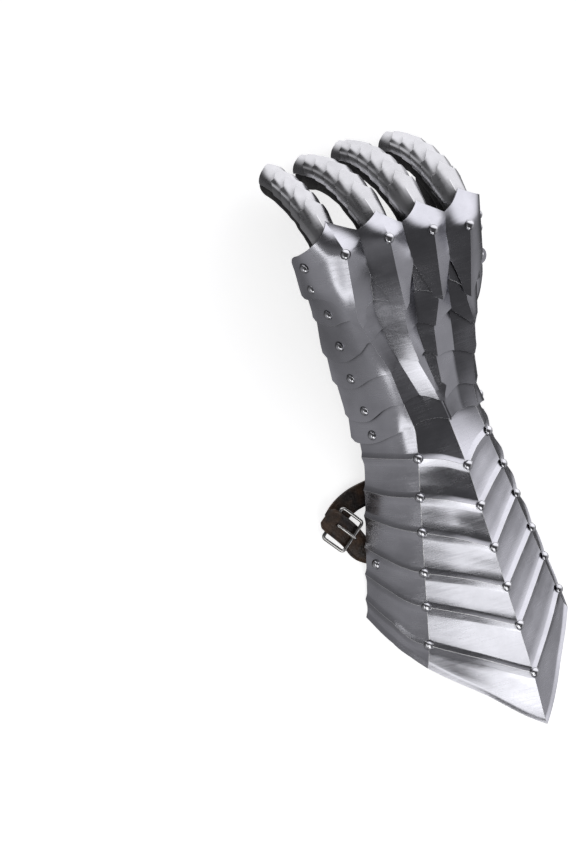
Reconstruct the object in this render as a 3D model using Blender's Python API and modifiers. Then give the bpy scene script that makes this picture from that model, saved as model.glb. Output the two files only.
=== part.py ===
# Armoured gauntlet for a left hand, resting palm down.
# The gauntlet's own frame: +X thumb side, +Y towards the fingers, +Z out of the back of the hand, in millimetres.
# The whole assembly hangs on one empty, which tips it so that the cuff's two lower corners and the
# fingertips stand on z = 0, and which puts the middle of its box over the origin.
import bpy
import bmesh
from math import sin, cos, tan, radians, pi, sqrt, atan2
from mathutils import Vector, Matrix

for old in list(bpy.data.objects):
    bpy.data.objects.remove(old, do_unlink=True)

# ------------------------------------------------------------------ driving dimensions (mm)
MM = 0.001
REST_TILT = 5.9            # degrees between the gauntlet's frame and the floor
CUFF_CORNER_Y = -153.5     # lower corner of the cuff, which stands on the floor
CENTRE_X, CENTRE_Y = -3.154, -46.992   # middle of the standing gauntlet's box
SHEET = 1.2                # steel sheet of cuff, lames and knuckle plate
SCALE_SHEET = 1.0          # steel sheet of the finger and thumb scales
LIFT = 2.6                 # rise of a lame from its tucked end to its free end
SCALE_LIFT = 2.1           # the same for a finger scale
TUCK = 5.0                 # hidden overlap of a lame
SCALE_TUCK = 3.6           # hidden overlap of a scale
SPIKE_LIFT = 5.2           # knuckle spikes ride over the first lame
RIVET_R, RIVET_H = 3.1, 2.5
FLUTE_H, FLUTE_W = 1.6, 4.2
LEATHER = 1.8
STRAP_W, STRAP_T = 16.0, 2.0

# ------------------------------------------------------------------ tables
# Lengthwise lines of the back of the hand, each a row of (y, x, z): flange edge, lower and upper bend,
# then knuckle ridges R1 (little finger) to R4 (index finger) with the valleys between them.
HAND = dict(
    FL=[(108, -70, 34), (91, -67, 29), (75, -64, 27), (57, -57.5, 20), (33, -52.5, 9), (8, -49, 6), (-14, -45.5, 5), (-38, -45.4, 5)],
    BL=[(108, -68, 43), (91, -64.5, 42), (75, -61.5, 42), (57, -55, 38), (33, -49.5, 31), (8, -44.5, 25), (-14, -40, 23), (-38, -38.3, 22.8)],
    AL=[(108, -60, 54), (91, -58, 55), (75, -56, 54), (57, -52.5, 50), (33, -45.5, 47), (8, -37.5, 44), (-14, -32.5, 41), (-38, -30.7, 39.3)],
    R1=[(118, -51, 50), (98, -49.2, 66), (56.2, -48.1, 58), (37.4, -42.2, 56), (15.5, -32.7, 53), (-9.1, -27.4, 50), (-30, -22.4, 48)],
    V1=[(108, -35.6, 60), (79, -34.8, 61), (56, -34, 54), (35, -30.5, 53), (15, -24, 52), (-10, -15, 50), (-30, -11.2, 49.6)],
    R2=[(115, -18.8, 56), (100, -22, 72), (53, -21.3, 66), (36, -19.8, 62), (16, -15.3, 58), (-16, -4.0, 53), (-30, -1.2, 51.3)],
    V2=[(103.5, -8.4, 64), (80, -8.1, 65), (56, -8, 58), (35, -11, 57), (15, -9, 55.5), (-16, -2.9, 53), (-30, 0, 51.5)],
    R3=[(112, 8.1, 56), (95.7, 7.5, 72), (51, 3.8, 66), (34.6, -1.4, 62), (14.5, -2.4, 58), (-16, -1.8, 53), (-30, 1.2, 51.3)],
    V3=[(100, 22.2, 62), (74.7, 17.5, 62), (50, 16, 56), (25, 13, 54.5), (6, 11, 52), (-16, 10, 50), (-30, 10.0, 49.6)],
    R4=[(109, 40.5, 50), (89, 35.2, 66), (44.5, 25.5, 60), (24.7, 27.5, 56), (6, 24.1, 53), (-12, 22, 50), (-30, 20.4, 48)],
    AR=[(108, 54, 50), (89, 49, 54), (60, 43, 51), (35, 36, 49), (12, 31, 45), (-14, 27.5, 42), (-38, 30.4, 39.4)],
    BR=[(108, 60, 40), (89, 54, 43), (60, 47, 41), (35, 41, 37), (12, 36, 28), (-14, 33.5, 25), (-38, 37.7, 22.8)],
    FR=[(110, 61, 30), (89, 56, 28), (60, 49, 24), (35, 43, 17), (12, 39, 10), (-14, 38.5, 6), (-38, 45.0, 5)],
)
LINE = list(HAND)

# Free (wrist-side) edge of each plate on each of those lines, as y
EDGES = dict(
    knuckle=dict(FL=67, BL=70, AL=66, R1=49.2, V1=79, R2=53, V2=80, R3=51, V3=74.7, R4=44.5, AR=63, BR=71, FR=68),
    lame_1=dict(FL=50, BL=49, AL=53, R1=55, V1=62.5, R2=57, V2=60, R3=55, V3=59, R4=49.5, AR=50, BR=47, FR=48),
    lame_2=dict(FL=23, BL=22.5, AL=30, R1=38, V1=42.5, R2=36.5, V2=39.5, R3=35, V3=40, R4=25.5, AR=29, BR=23, FR=23),
    lame_3=dict(FL=3, BL=3, AL=11.5, R1=13.5, V1=20.5, R2=16.5, V2=20.5, R3=15, V3=13, R4=6.5, AR=9, BR=3, FR=3),
    lame_4=dict(FL=-21, BL=-21, AL=-11, R1=-8.5, V1=-7, R2=-14, V2=-15, R3=-15, V3=-9.5, R4=-14, AR=-12, BR=-20, FR=-20),
    lame_5=dict(FL=-37, BL=-36, AL=-29.5, R1=-25, V1=-24.5, R2=-28, V2=-29.5, R3=-28, V3=-26, R4=-28, AR=-29.5, BR=-36, FR=-37),
)
# Finger-side edge of the knuckle plate on each line, as y, and the row of its knees
FRONT = dict(FL=97, BL=100, AL=107, R1=117, V1=107.5, R2=114.5, V2=103.5, R3=111.8, V3=100, R4=108.6, AR=101, BR=98, FR=97)
KNEE = dict(FL=88, BL=90, AL=94, R1=98, V1=94, R2=100, V2=92, R3=95.7, V3=88, R4=89, AR=90, BR=92, FR=93)

# Cuff: lengthwise lines as rows of (y, x, z), ridges L, M and R, side walls down to the edge
CUFF = dict(
    EL=[(-24, -43.5, 6.5), (-51, -45, 10.4), (-111, -56.2, 4.0), (-153.5, -64.2, 0.28)],
    BL=[(-24, -38.6, 22.6), (-47, -38.5, 24.5), (-71.4, -43.2, 25.5), (-106, -49.5, 25.5), (-141, -56, 25.5), (-167, -60.5, 24)],
    AL=[(-24, -31, 40.0), (-47, -30.8, 39), (-71.4, -36.2, 39), (-119, -45.2, 39.5), (-141, -49.5, 40), (-175, -56.5, 38)],
    L=[(-24, -23.8, 48.6), (-30, -22.4, 48), (-46.9, -25.2, 48), (-71.4, -30.2, 48.2), (-93.5, -34.5, 48.6), (-119.3, -39.6, 49), (-141, -43.8, 49.5), (-166, -48.6, 49.9), (-181, -52.5, 49)],
    ML=[(-24, -12.3, 49.7), (-30, -11.2, 49.6), (-58, -12.8, 55.6), (-84, -15.6, 59.2), (-137, -21, 64.5), (-178, -25.2, 69.5), (-206, -27, 71.2)],
    M=[(-22, -1.6, 52.2), (-30, 0, 51.5), (-57.9, 0, 61.4), (-84.3, 0, 66.4), (-111.6, 0, 71.6), (-137.3, 0, 76.6), (-162.8, 0, 81.5), (-194.4, 0, 87.0), (-232.4, 0, 89.2)],
)
for left, right in (("ML", "MR"), ("L", "R"), ("AL", "AR"), ("BL", "BR"), ("EL", "ER")):
    CUFF[right] = [(y, -x, z) for y, x, z in CUFF[left]]
CUFF["MR"][0] = (-24, 10.0, 49.7)
CUFF["R"][0] = (-24, 20.9, 48.6)
CUFF["AR"][0] = (-24, 28.5, 40.8)
CUFF["BR"][0] = (-24, 35.2, 24.0)
CUFF["ER"][0] = (-24, 41.4, 6.5)
CUFF_LINE = ["EL", "BL", "AL", "L", "ML", "M", "MR", "R", "AR", "BR", "ER"]
# y of the six flutes on each cuff line, and of the cuff's two ends
FLUTES = dict(
    E=(-46.5, -68, -85, -106, -124, -141), B=(-46.5, -70, -89, -112, -132, -152.5), A=(-46.8, -71, -92, -117, -138.5, -162.5),
    L=(-46.9, -71.4, -93.5, -119.3, -141, -166), ML=(-50.8, -76.8, -101.2, -127.2, -150.8, -179), M=(-57.9, -84.3, -111.6, -137.3, -162.8, -194.4))
CUFF_END = dict(E=-153.5, B=-167, A=-175, L=-181, ML=-204.5, M=-232.4)
CUFF_START = dict(E=-30, B=-30, A=-24.5, L=-24, ML=-24, M=-23.5)

# Fingers: where the middle of the glove finger leaves the knuckles, its heading, the pitch at the
# knuckle, middle joint and end, its length (0: down to the floor), glove radius and number of scales
FINGERS = dict(
    pinky=dict(x=-51.8, y=108.0, z=38.5, yaw=-2, pitch=(42, 64, 84), length=63, radius=8.2, scales=4),
    ring=dict(x=-20.4, y=108.5, z=44.4, yaw=-5, pitch=(42, 69, 95.9), length=0, radius=8.7, scales=5),
    middle=dict(x=7.6, y=106.5, z=44.0, yaw=-5, pitch=(38, 65, 95.9), length=0, radius=8.9, scales=6),
    index=dict(x=39.8, y=101.5, z=38.6, yaw=-2, pitch=(38, 65, 95.9), length=0, radius=8.9, scales=5),
)
# Thumb: middle line of the glove thumb as (x, y, z, radius)
THUMB = [(20, 6, 3, 10.5), (47.5, 36, -3.5, 13.3), (54.5, 54, -4.5, 12.3), (57, 74, -6.5, 11), (57, 94, -9.3, 10), (54.5, 112, -12.3, 9.2)]
THUMB_UP = (0.80, 0.0, 0.60)
THUMB_ROOT = 18.9      # length of the thumb inside the palm, before its armour is measured from 0

# Palm and sleeve of the glove: y, left, right, top, bottom
PALM = [(-96, -33, 33, 50, 13), (-62, -31, 31, 46, 9), (-32, -30.5, 29, 43.5, 6), (0, -37, 30, 46.5, 1), (30, -43.5, 35, 48.5, -2),
        (60, -50, 41, 50, -2), (82, -55, 44, 51.5, 4), (94, -55, 44, 48.5, 19)]


# ------------------------------------------------------------------ small helpers
def interp(rows, y, k):
    rows = sorted(rows)
    if y <= rows[0][0]:
        a, b = rows[0], rows[1]
        if y > rows[0][0] - 12:
            return a[k] + (b[k] - a[k]) * (y - a[0]) / (b[0] - a[0])
        return a[k]
    for a, b in zip(rows, rows[1:]):
        if y <= b[0]:
            return a[k] + (b[k] - a[k]) * (y - a[0]) / (b[0] - a[0])
    return rows[-1][k]


def mitres(pts):
    """Outward offset directions of an open section line in its own plane."""
    norms = []
    for (ax, az), (bx, bz) in zip(pts, pts[1:]):
        dx, dz = bx - ax, bz - az
        n = max(sqrt(dx * dx + dz * dz), 1e-6)
        norms.append((-dz / n, dx / n))
    out = [norms[0]]
    for (ax, az), (bx, bz) in zip(norms, norms[1:]):
        s = max(1 + ax * bx + az * bz, 0.75)
        out.append(((ax + bx) / s, (az + bz) / s))
    out.append(norms[-1])
    return out


def hand_point(line, y, lift):
    sec = [(interp(HAND[n], y, 1), interp(HAND[n], y, 2)) for n in LINE]
    k = LINE.index(line)
    m = mitres(sec)[k]
    return Vector((sec[k][0] + m[0] * lift, y, sec[k][1] + m[1] * lift))


def cuff_point(line, y, lift):
    sec = [(interp(CUFF[n], y, 1), interp(CUFF[n], y, 2)) for n in CUFF_LINE]
    k = CUFF_LINE.index(line)
    m = mitres(sec)[k]
    return Vector((sec[k][0] + m[0] * lift, y, sec[k][1] + m[1] * lift))


def ellipse_ring(origin, side, up, a, b, n, phase=0.0, power=2.0):
    pts = []
    for i in range(n):
        t = 2 * pi * i / n + phase
        c, s = cos(t), sin(t)
        f = (abs(c) ** power + abs(s) ** power) ** (-1.0 / power)
        pts.append(origin + side * (a * c * f) + up * (b * s * f))
    return pts


# ------------------------------------------------------------------ scene plumbing
parts = bpy.data.collections.new("gauntlet")
tools = bpy.data.collections.new("gauntlet_cutters")
bpy.context.scene.collection.children.link(parts)
bpy.context.scene.collection.children.link(tools)

stand = bpy.data.objects.new("gauntlet_stand", None)
stand.rotation_euler = (radians(REST_TILT), 0, 0)
stand.location = (-CENTRE_X * MM, -CENTRE_Y * MM, -CUFF_CORNER_Y * sin(radians(REST_TILT)) * MM)
parts.objects.link(stand)


def material(name, colour, rough, metal):
    m = bpy.data.materials.new(name)
    m.use_nodes = True
    bsdf = m.node_tree.nodes["Principled BSDF"]
    bsdf.inputs["Base Color"].default_value = (*colour, 1)
    bsdf.inputs["Roughness"].default_value = rough
    bsdf.inputs["Metallic"].default_value = metal
    return m


STEEL = ((0.62, 0.62, 0.64), 0.28, 1.0)
NICKEL = ((0.70, 0.69, 0.66), 0.2, 1.0)
HIDE = ((0.02, 0.019, 0.018), 0.5, 0.0)


def add_object(name, mesh, look, cutter=False):
    ob = bpy.data.objects.new(name, mesh)
    ob.parent = stand
    if cutter:
        tools.objects.link(ob)
        ob.hide_render = True
        ob.display_type = "WIRE"
    else:
        parts.objects.link(ob)
        mesh.materials.append(material(name, *look))
    return ob


def mesh_from(name, verts, faces, smooth=False):
    mesh = bpy.data.meshes.new(name)
    mesh.from_pydata([tuple(Vector(v) * MM) for v in verts], [], faces)
    mesh.validate()
    if smooth:
        mesh.shade_smooth()
        mesh.set_sharp_from_angle(angle=radians(35))
    return mesh


def sheet(name, rows, thick, look=STEEL):
    """Open loft through rows of points, given its thickness inwards."""
    n = len(rows[0])
    verts = [p for row in rows for p in row]
    faces = [(r * n + c, r * n + c + 1, (r + 1) * n + c + 1, (r + 1) * n + c)
             for r in range(len(rows) - 1) for c in range(n - 1)]
    ob = add_object(name, mesh_from(name, verts, faces), look)
    mod = ob.modifiers.new("thickness", "SOLIDIFY")
    mod.thickness = thick * MM
    mod.offset = -1
    mod.use_even_offset = True
    mod.use_quality_normals = True
    mod.thickness_clamp = 1.6
    return ob


def loft(rings, cap=True):
    """Closed loft: verts and faces through equal rings, capped at both ends."""
    n = len(rings[0])
    verts = [p for ring in rings for p in ring]
    faces = []
    for r in range(len(rings) - 1):
        for c in range(n):
            d = (c + 1) % n
            faces.append((r * n + c, r * n + d, (r + 1) * n + d, (r + 1) * n + c))
    faces.append(tuple(reversed(range(n))))
    faces.append(tuple((len(rings) - 1) * n + c for c in range(n)))
    return verts, faces


def boolean(ob, other, operation):
    mod = ob.modifiers.new(operation.lower() + "_" + other.name, "BOOLEAN")
    mod.operation = operation
    mod.object = other
    mod.solver = "EXACT"


def rivet_heads(ob, spots, radius=RIVET_R, height=RIVET_H):
    """Union of domed rivet heads; a spot is (point, outward normal, depth of the shank)."""
    bm = bmesh.new()
    for point, normal, depth in spots:
        one = bmesh.new()
        bmesh.ops.create_uvsphere(one, u_segments=8, v_segments=4, radius=radius)
        bmesh.ops.scale(one, vec=(1, 1, height / radius), verts=one.verts)
        cut = bmesh.ops.bisect_plane(one, geom=one.verts[:] + one.edges[:] + one.faces[:],
                                     plane_co=(0, 0, 0.001), plane_no=(0, 0, -1), clear_outer=True)
        rim = [e for e in one.edges if e.is_boundary]
        skirt = bmesh.ops.extrude_edge_only(one, edges=rim)
        low = [v for v in skirt["geom"] if isinstance(v, bmesh.types.BMVert)]
        bmesh.ops.translate(one, vec=(0, 0, -depth), verts=low)
        bmesh.ops.holes_fill(one, edges=[e for e in one.edges if e.is_boundary], sides=0)
        bmesh.ops.recalc_face_normals(one, faces=one.faces)
        n = Vector(normal).normalized()
        rot = n.to_track_quat("Z", "X").to_matrix().to_4x4()
        bmesh.ops.transform(one, matrix=Matrix.Diagonal((MM, MM, MM, 1)) @ Matrix.Translation(point) @ rot, verts=one.verts)
        tmp = bpy.data.meshes.new("tmp")
        one.to_mesh(tmp)
        one.free()
        bm.from_mesh(tmp)
        bpy.data.meshes.remove(tmp)
    mesh = bpy.data.meshes.new(ob.name + "_rivets")
    bm.to_mesh(mesh)
    bm.free()
    boolean(ob, add_object(ob.name + "_rivets", mesh, None, cutter=True), "UNION")


def hand_spot(u, y, lift, depth=0.7):
    """Rivet place at a fraction u between two of the hand's lines."""
    k = min(int(u), len(LINE) - 2)
    f = u - k
    p = hand_point(LINE[k], y, lift).lerp(hand_point(LINE[k + 1], y, lift), f)
    q = hand_point(LINE[k], y + 4, lift).lerp(hand_point(LINE[k + 1], y + 4, lift), f)
    if f == 0:
        a, b = hand_point(LINE[k - 1], y, lift), hand_point(LINE[k + 1], y, lift)
    else:
        a, b = hand_point(LINE[k], y, lift), hand_point(LINE[k + 1], y, lift)
    return p, (b - a).cross(q - p), depth


# ------------------------------------------------------------------ cuff
def key(line):
    return {"EL": "E", "ER": "E", "BL": "B", "BR": "B", "AL": "A", "AR": "A", "R": "L", "MR": "ML"}.get(line, line)


def cuff_rows():
    """Rows of points: the tucked end, three rows to a flute, and the pointed end."""
    plan = [("start", 0, -1.1), ("start", -7, -0.3)]
    for k in range(6):
        plan += [(k, FLUTE_W, 0.1), (k, 0, FLUTE_H), (k, -FLUTE_W, 0.1)]
    plan.append(("end", 0, 0.1))
    rows = []
    for where, shift, lift in plan:
        row = []
        for n in CUFF_LINE:
            if where == "start":
                y = CUFF_START[key(n)] + shift
            elif where == "end":
                y = CUFF_END[key(n)]
            else:
                y = FLUTES[key(n)][where] + shift
            row.append(cuff_point(n, y, lift))
        rows.append(row)
    return rows[::-1]


cuff = sheet("cuff", cuff_rows(), SHEET)
spots = []
for name, side in (("L", -1), ("R", 1), ("M", 0)):
    for y in FLUTES[key(name)]:
        p = cuff_point(name, y, FLUTE_H)
        normal = Vector((side * 1.0, 0.0, 1.0)) if side else Vector((0, 0.12, 1))
        spots.append((p - normal.normalized() * 0.5, normal, 2.2))
for side, line in ((-1, "EL"), (1, "ER")):
    low, up = cuff_point(line, -117, 0.1), cuff_point("B" + line[1], -117, 0.1)
    p = low.lerp(up, 0.42)
    spots.append((p, Vector((side * 0.93, 0, 0.3)), 0.7))
rivet_heads(cuff, spots)

# ------------------------------------------------------------------ lames
PLATES = ["knuckle", "lame_1", "lame_2", "lame_3", "lame_4", "lame_5"]
LAME_RIVET = dict(lame_1=(57.0, 65.5), lame_2=(33.5, 33.5), lame_3=(9.5, 9.5), lame_4=(-14.0, -13.0), lame_5=(-31.0, -31.0))
for above, name in zip(PLATES, PLATES[1:]):
    rows = []
    for v in (0.0, 0.33, 0.67, 1.0):
        row = []
        for n in LINE:
            free = EDGES[name][n]
            hidden = EDGES[above][n] + TUCK
            if above == "knuckle" and n in ("R1", "R2", "R3", "R4"):
                hidden = EDGES[above][n] + 26
            y = free + v * (hidden - free)
            row.append(hand_point(n, y, LIFT * (1 - v)))
        rows.append(row)
    lame = sheet(name, rows, SHEET)
    left, right = LAME_RIVET[name]
    rivet_heads(lame, [hand_spot(0.95, left, LIFT * 0.72), hand_spot(11.05, right, LIFT * 0.72)])

# ------------------------------------------------------------------ knuckle plate
rows = []
for v in (0.0, 0.3, 0.65, 1.0, 2.0):
    row = []
    for n in LINE:
        ridge = n in ("R1", "R2", "R3", "R4")
        high = SPIKE_LIFT if ridge else 3.6
        free, knee, front = EDGES["knuckle"][n], KNEE[n], FRONT[n]
        if v <= 1:
            y, lift = free + v * (knee - free), high + (1.6 - high) * v
        else:
            y, lift = front, 1.6
        row.append(hand_point(n, y, lift))
    rows.append(row)
knuckle = sheet("knuckle_plate", rows, SHEET)
spots = []
for n, y in (("R1", 97.0), ("R2", 99.0), ("R3", 94.7), ("R4", 88.0)):
    p = hand_point(n, y, 1.6)
    spots.append((p - Vector((0, 0, 0.6)), Vector((0, 0.05, 1)), 1.6))
spots += [hand_spot(0.85, 90.5, 1.9), hand_spot(0.8, 76.5, 2.3), hand_spot(11.0, 86.0, 1.9), hand_spot(11.0, 78.0, 2.2)]
rivet_heads(knuckle, spots)


# ------------------------------------------------------------------ fingers
def finger_path(f):
    """Middle line of a glove finger: list of (s, origin, side, up, forward)."""
    yaw = radians(f["yaw"])
    head = Vector((sin(yaw), cos(yaw), 0))
    side = Vector((cos(yaw), -sin(yaw), 0))
    p = Vector((f["x"], f["y"], f["z"]))
    tilt = tan(radians(REST_TILT))
    step = 1.0
    start, mid, end = f["pitch"]
    out = []
    s = -24.0
    for k in range(24):
        pitch = radians(start * (11.5 - k) / 12)
        p = p - (head * cos(pitch) - Vector((0, 0, 1)) * sin(pitch))
    while True:
        if s < 0:
            deg = start * (s + 12) / 12
        elif s < 30:
            deg = start + (mid - start) * s / 30
        elif s < 62:
            deg = mid + (end - mid) * (s - 30) / 32
        else:
            deg = end
        pitch = radians(deg)
        fwd = head * cos(pitch) - Vector((0, 0, 1)) * sin(pitch)
        floor = -tilt * (p.y - CUFF_CORNER_Y)
        if not f["length"] and s > 62:
            # the last stretch stands straight up from the floor, so that the fingertip ends in a level disc
            side, fwd = Vector((1, 0, 0)), Vector((0, -sin(radians(REST_TILT)), -cos(radians(REST_TILT))))
            if p.z <= floor + 0.02:
                p.z = floor
        up = side.cross(fwd)
        out.append((s, p.copy(), side, up, fwd))
        if f["length"] and s >= f["length"]:
            break
        if not f["length"] and p.z <= floor + 0.02:
            break
        room = (p.z - floor) / max(sin(pitch), 0.2)
        d = min(step, room) if not f["length"] else min(step, f["length"] - s)
        if d < 1e-4:
            break
        p = p + fwd * d
        s += d
    return out


def at(path, s):
    if s <= path[0][0]:
        return path[0]
    for a, b in zip(path, path[1:]):
        if s <= b[0]:
            t = (s - a[0]) / max(b[0] - a[0], 1e-9)
            return (s, a[1].lerp(b[1], t), a[2].lerp(b[2], t).normalized(), a[3].lerp(b[3], t).normalized(), a[4].lerp(b[4], t).normalized())
    s0, p, side, up, fwd = path[-1]
    return (s, p + fwd * (s - s0), side, up, fwd)


# Roof-shaped section of a scale over a glove finger of radius 1, as (across, above)
ROOF = [(-0.90, 0.52), (-0.78, 0.78), (-0.50, 1.00), (0.0, 1.20), (0.70, 0.86), (1.00, 0.42), (1.10, -0.06)]
THUMB_ROOF = [(-1.10, -0.06), (-1.00, 0.42), (-0.70, 0.86), (0.0, 1.20), (0.70, 0.86), (1.00, 0.42), (1.10, -0.06)]
# How far the free edge of a scale falls behind its tip on each of those lines
SWEEP = [11.0, 9.0, 5.5, 0.0, 5.5, 9.0, 11.0]
TIP_SWEEP = [3.5, 3.0, 2.4, 0.0, 2.4, 3.0, 3.5]


def scale_point(path, section, k, s, lift):
    s0, origin, side, up, fwd = at(path, s)
    m = mitres(section)[k]
    a, b = section[k][0] + m[0] * lift, section[k][1] + m[1] * lift
    return origin + side * a + up * b


def radius_at(f, s, total):
    """Glove finger radius, thinner towards the tip."""
    t = max(0.0, min(1.0, s / total))
    return f["radius"] * (1.06 - 0.14 * t)


paths = {}
for finger, f in FINGERS.items():
    path = finger_path(f)
    total = path[-1][0]
    paths[finger] = (path, total)
    n = f["scales"]
    first, last = 15.5, total - 6.5
    tips = [first + (last - first) * (k / n) for k in range(n + 1)]
    for k, tip in enumerate(tips):
        name = f"{finger}_scale_{k + 1}" if k < n else f"{finger}_tip"
        sweep = SWEEP if k < n else TIP_SWEEP
        rows = []
        for v in (0.0, 0.34, 0.67, 1.0):
            row = []
            for j in range(7):
                hidden = -9.0 + SWEEP[j] * 0.25 if k == 0 else tips[k - 1] - SWEEP[j] - SCALE_TUCK
                free = tip - sweep[j]
                s = hidden + v * (free - hidden)
                r = radius_at(f, s, total) + 0.3
                section = [(a * r, b * r) for a, b in ROOF]
                row.append(scale_point(path, section, j, s, SCALE_LIFT * v + 0.4))
            rows.append(row)
        sheet(name, rows, SCALE_SHEET)

# ------------------------------------------------------------------ thumb
def thumb_path():
    """Smooth line through the thumb's rows, with the armour's upward direction."""
    pts = [Vector(r[:3]) for r in THUMB]
    out, s, last = [], -THUMB_ROOT, None
    for i in range(len(pts) - 1):
        p0 = pts[max(i - 1, 0)]
        p1, p2 = pts[i], pts[i + 1]
        p3 = pts[min(i + 2, len(pts) - 1)]
        for k in range(8 if i < len(pts) - 2 else 9):
            t = k / 8
            p = 0.5 * ((2 * p1) + (p2 - p0) * t + (2 * p0 - 5 * p1 + 4 * p2 - p3) * t * t + (3 * p1 - p0 - 3 * p2 + p3) * t ** 3)
            r = THUMB[i][3] + (THUMB[i + 1][3] - THUMB[i][3]) * t
            if last is not None:
                s += (p - last).length
            last = p
            out.append([s, p, r])
    frames = []
    for i, (s, p, r) in enumerate(out):
        a, b = out[max(i - 1, 0)][1], out[min(i + 1, len(out) - 1)][1]
        fwd = (b - a).normalized()
        up = Vector(THUMB_UP)
        up = (up - fwd * up.dot(fwd)).normalized()
        frames.append((s, p, fwd.cross(up), up, fwd))
    return frames, [(s, r) for s, p, r in out]


tpath, tradii = thumb_path()
t_total = tpath[-1][0]


def thumb_radius(s):
    for (a, ra), (b, rb) in zip(tradii, tradii[1:]):
        if s <= b:
            return ra + (rb - ra) * max(s - a, 0) / (b - a)
    return tradii[-1][1]


# Teardrop base plate: s along the thumb, half width, crown above the thumb's middle line, drop of its sides,
# shift towards the palm, clear of the hand's plates
DOME = [(9.5, 5.0, 15.4, 13.2, 3.0), (14, 11.0, 17.0, 10.5, 2.6), (22, 15.4, 18.2, 6.0, 2.2), (34, 16.6, 18.0, 3.6, 1.6), (46, 15.8, 16.6, 2.6, 0.8), (57, 15.2, 15.6, 2.0, 0.3)]
rows = []
for s, w, crown, drop, shift in DOME:
    section = [(-w, drop), (-w * 0.86, drop + (crown - drop) * 0.48), (-w * 0.5, drop + (crown - drop) * 0.86), (0, crown),
               (w * 0.5, drop + (crown - drop) * 0.86), (w * 0.86, drop + (crown - drop) * 0.48), (w, drop)]
    section = [(across + shift, above) for across, above in section]
    rows.append([scale_point(tpath, section, j, s, 2.4) for j in range(7)])
dome = sheet("thumb_dome", rows, SCALE_SHEET + 0.2)
s0, o, sd, up, fw = at(tpath, 51)
rivet_heads(dome, [(o + up * 18.0 + sd * 0.0, up, 0.7)], radius=2.9)

n_thumb = 3
first, last = 70.0, t_total - 6.0
tips = [first + (last - first) * (k / n_thumb) for k in range(n_thumb + 1)]
for k, tip in enumerate(tips):
    name = f"thumb_scale_{k + 1}" if k < n_thumb else "thumb_tip"
    sweep = SWEEP if k < n_thumb else TIP_SWEEP
    rows = []
    for v in (0.0, 0.34, 0.67, 1.0):
        row = []
        for j in range(7):
            hidden = 53.5 if k == 0 else tips[k - 1] - SWEEP[j] - SCALE_TUCK
            free = tip - sweep[j]
            s = hidden + v * (free - hidden)
            r = thumb_radius(s) + 0.3
            section = [(a * r, b * r) for a, b in THUMB_ROOF]
            row.append(scale_point(tpath, section, j, s, (SCALE_LIFT + 2.2) * v + 0.3))
        rows.append(row)
    sheet(name, rows, SCALE_SHEET)


# ------------------------------------------------------------------ glove
def tube(name, path, start, end, radius, shrink, flat, sides=8, step=9.0, cutter=True):
    """Glove finger or its hollow, closed by a small flat end."""
    n = max(4, int((end - start) / step))
    rings = []
    stations = [start + (end - start - 5.0) * k / n for k in range(n + 1)]
    profile = [(s, 1.0) for s in stations] + [(end - 2.2, 0.86), (end - 0.4, 0.60), (end, flat)]
    for s, k in profile:
        s0, o, side, up, fwd = at(path, s)
        r = (radius(s) - shrink) * k
        rings.append(ellipse_ring(o, side, up, r, r, sides, phase=pi / sides))
    # rings run along the finger, so their order is turned to face outwards
    verts, faces = loft([ring[::-1] for ring in rings])
    return add_object(name, mesh_from(name, verts, faces), HIDE, cutter=cutter)


def palm(name, shrink, extra, cutter):
    rings = []
    rows = list(PALM)
    if extra:
        y, a, b, t, l = rows[0]
        rows = [(y - extra, a, b, t, l)] + rows
    for k, (y, left, right, top, low) in enumerate(rows):
        if shrink and k == len(rows) - 1:
            y -= shrink
        cx, cz = (left + right) / 2, (top + low) / 2
        rings.append(ellipse_ring(Vector((cx, y, cz)), Vector((1, 0, 0)), Vector((0, 0, 1)),
                                  (right - left) / 2 - shrink, (top - low) / 2 - shrink, 16, power=2.5)[::-1])
    verts, faces = loft(rings)
    return add_object(name, mesh_from(name, verts, faces), HIDE, cutter=cutter)


glove = palm("glove", 0.0, 0, False)
outer, inner = [], [palm("palm_hollow", LEATHER, 12, True)]
for finger, f in FINGERS.items():
    path, total = paths[finger]
    rad = (lambda f, total: (lambda s: radius_at(f, s, total)))(f, total)
    outer.append(tube(finger + "_stall", path, -23.0, total, rad, 0.0, 0.42))
    inner.append(tube(finger + "_hollow", path, -21.6, total - LEATHER, rad, LEATHER, 0.3, step=8.4))
outer.append(tube("thumb_stall", tpath, -THUMB_ROOT, t_total, thumb_radius, 0.0, 0.42))
inner.append(tube("thumb_hollow", tpath, 1.4 - THUMB_ROOT, t_total - LEATHER, thumb_radius, LEATHER, 0.3, step=8.4))
for ob in outer:
    boolean(glove, ob, "UNION")
for ob in inner[1:]:
    boolean(inner[0], ob, "UNION")
boolean(glove, inner[0], "DIFFERENCE")
weld = glove.modifiers.new("seams", "WELD")
weld.merge_threshold = 0.00005


# ------------------------------------------------------------------ straps and buckle
def band(name, rows, width, thick, taper=0):
    """Flat strap: rows of (x, y, z, width direction), swept as a rectangle."""
    rings = []
    pts = [Vector(r[:3]) for r in rows]
    for i, r in enumerate(rows):
        fwd = (pts[min(i + 1, len(pts) - 1)] - pts[max(i - 1, 0)]).normalized()
        across = Vector(r[3])
        across = (across - fwd * across.dot(fwd)).normalized()
        nrm = across.cross(fwd)
        w = width * (r[4] if len(r) > 4 else 1.0)
        a, b = across * (w / 2), nrm * (thick / 2)
        rings.append([pts[i] - a - b, pts[i] + a - b, pts[i] + a + b, pts[i] - a + b])
    verts, faces = loft(rings)
    mesh = mesh_from(name, verts, faces)
    ob = add_object(name, mesh, HIDE)
    bm = bmesh.new()
    bm.from_mesh(mesh)
    bmesh.ops.recalc_face_normals(bm, faces=bm.faces)
    bm.to_mesh(mesh)
    bm.free()
    return ob


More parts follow.
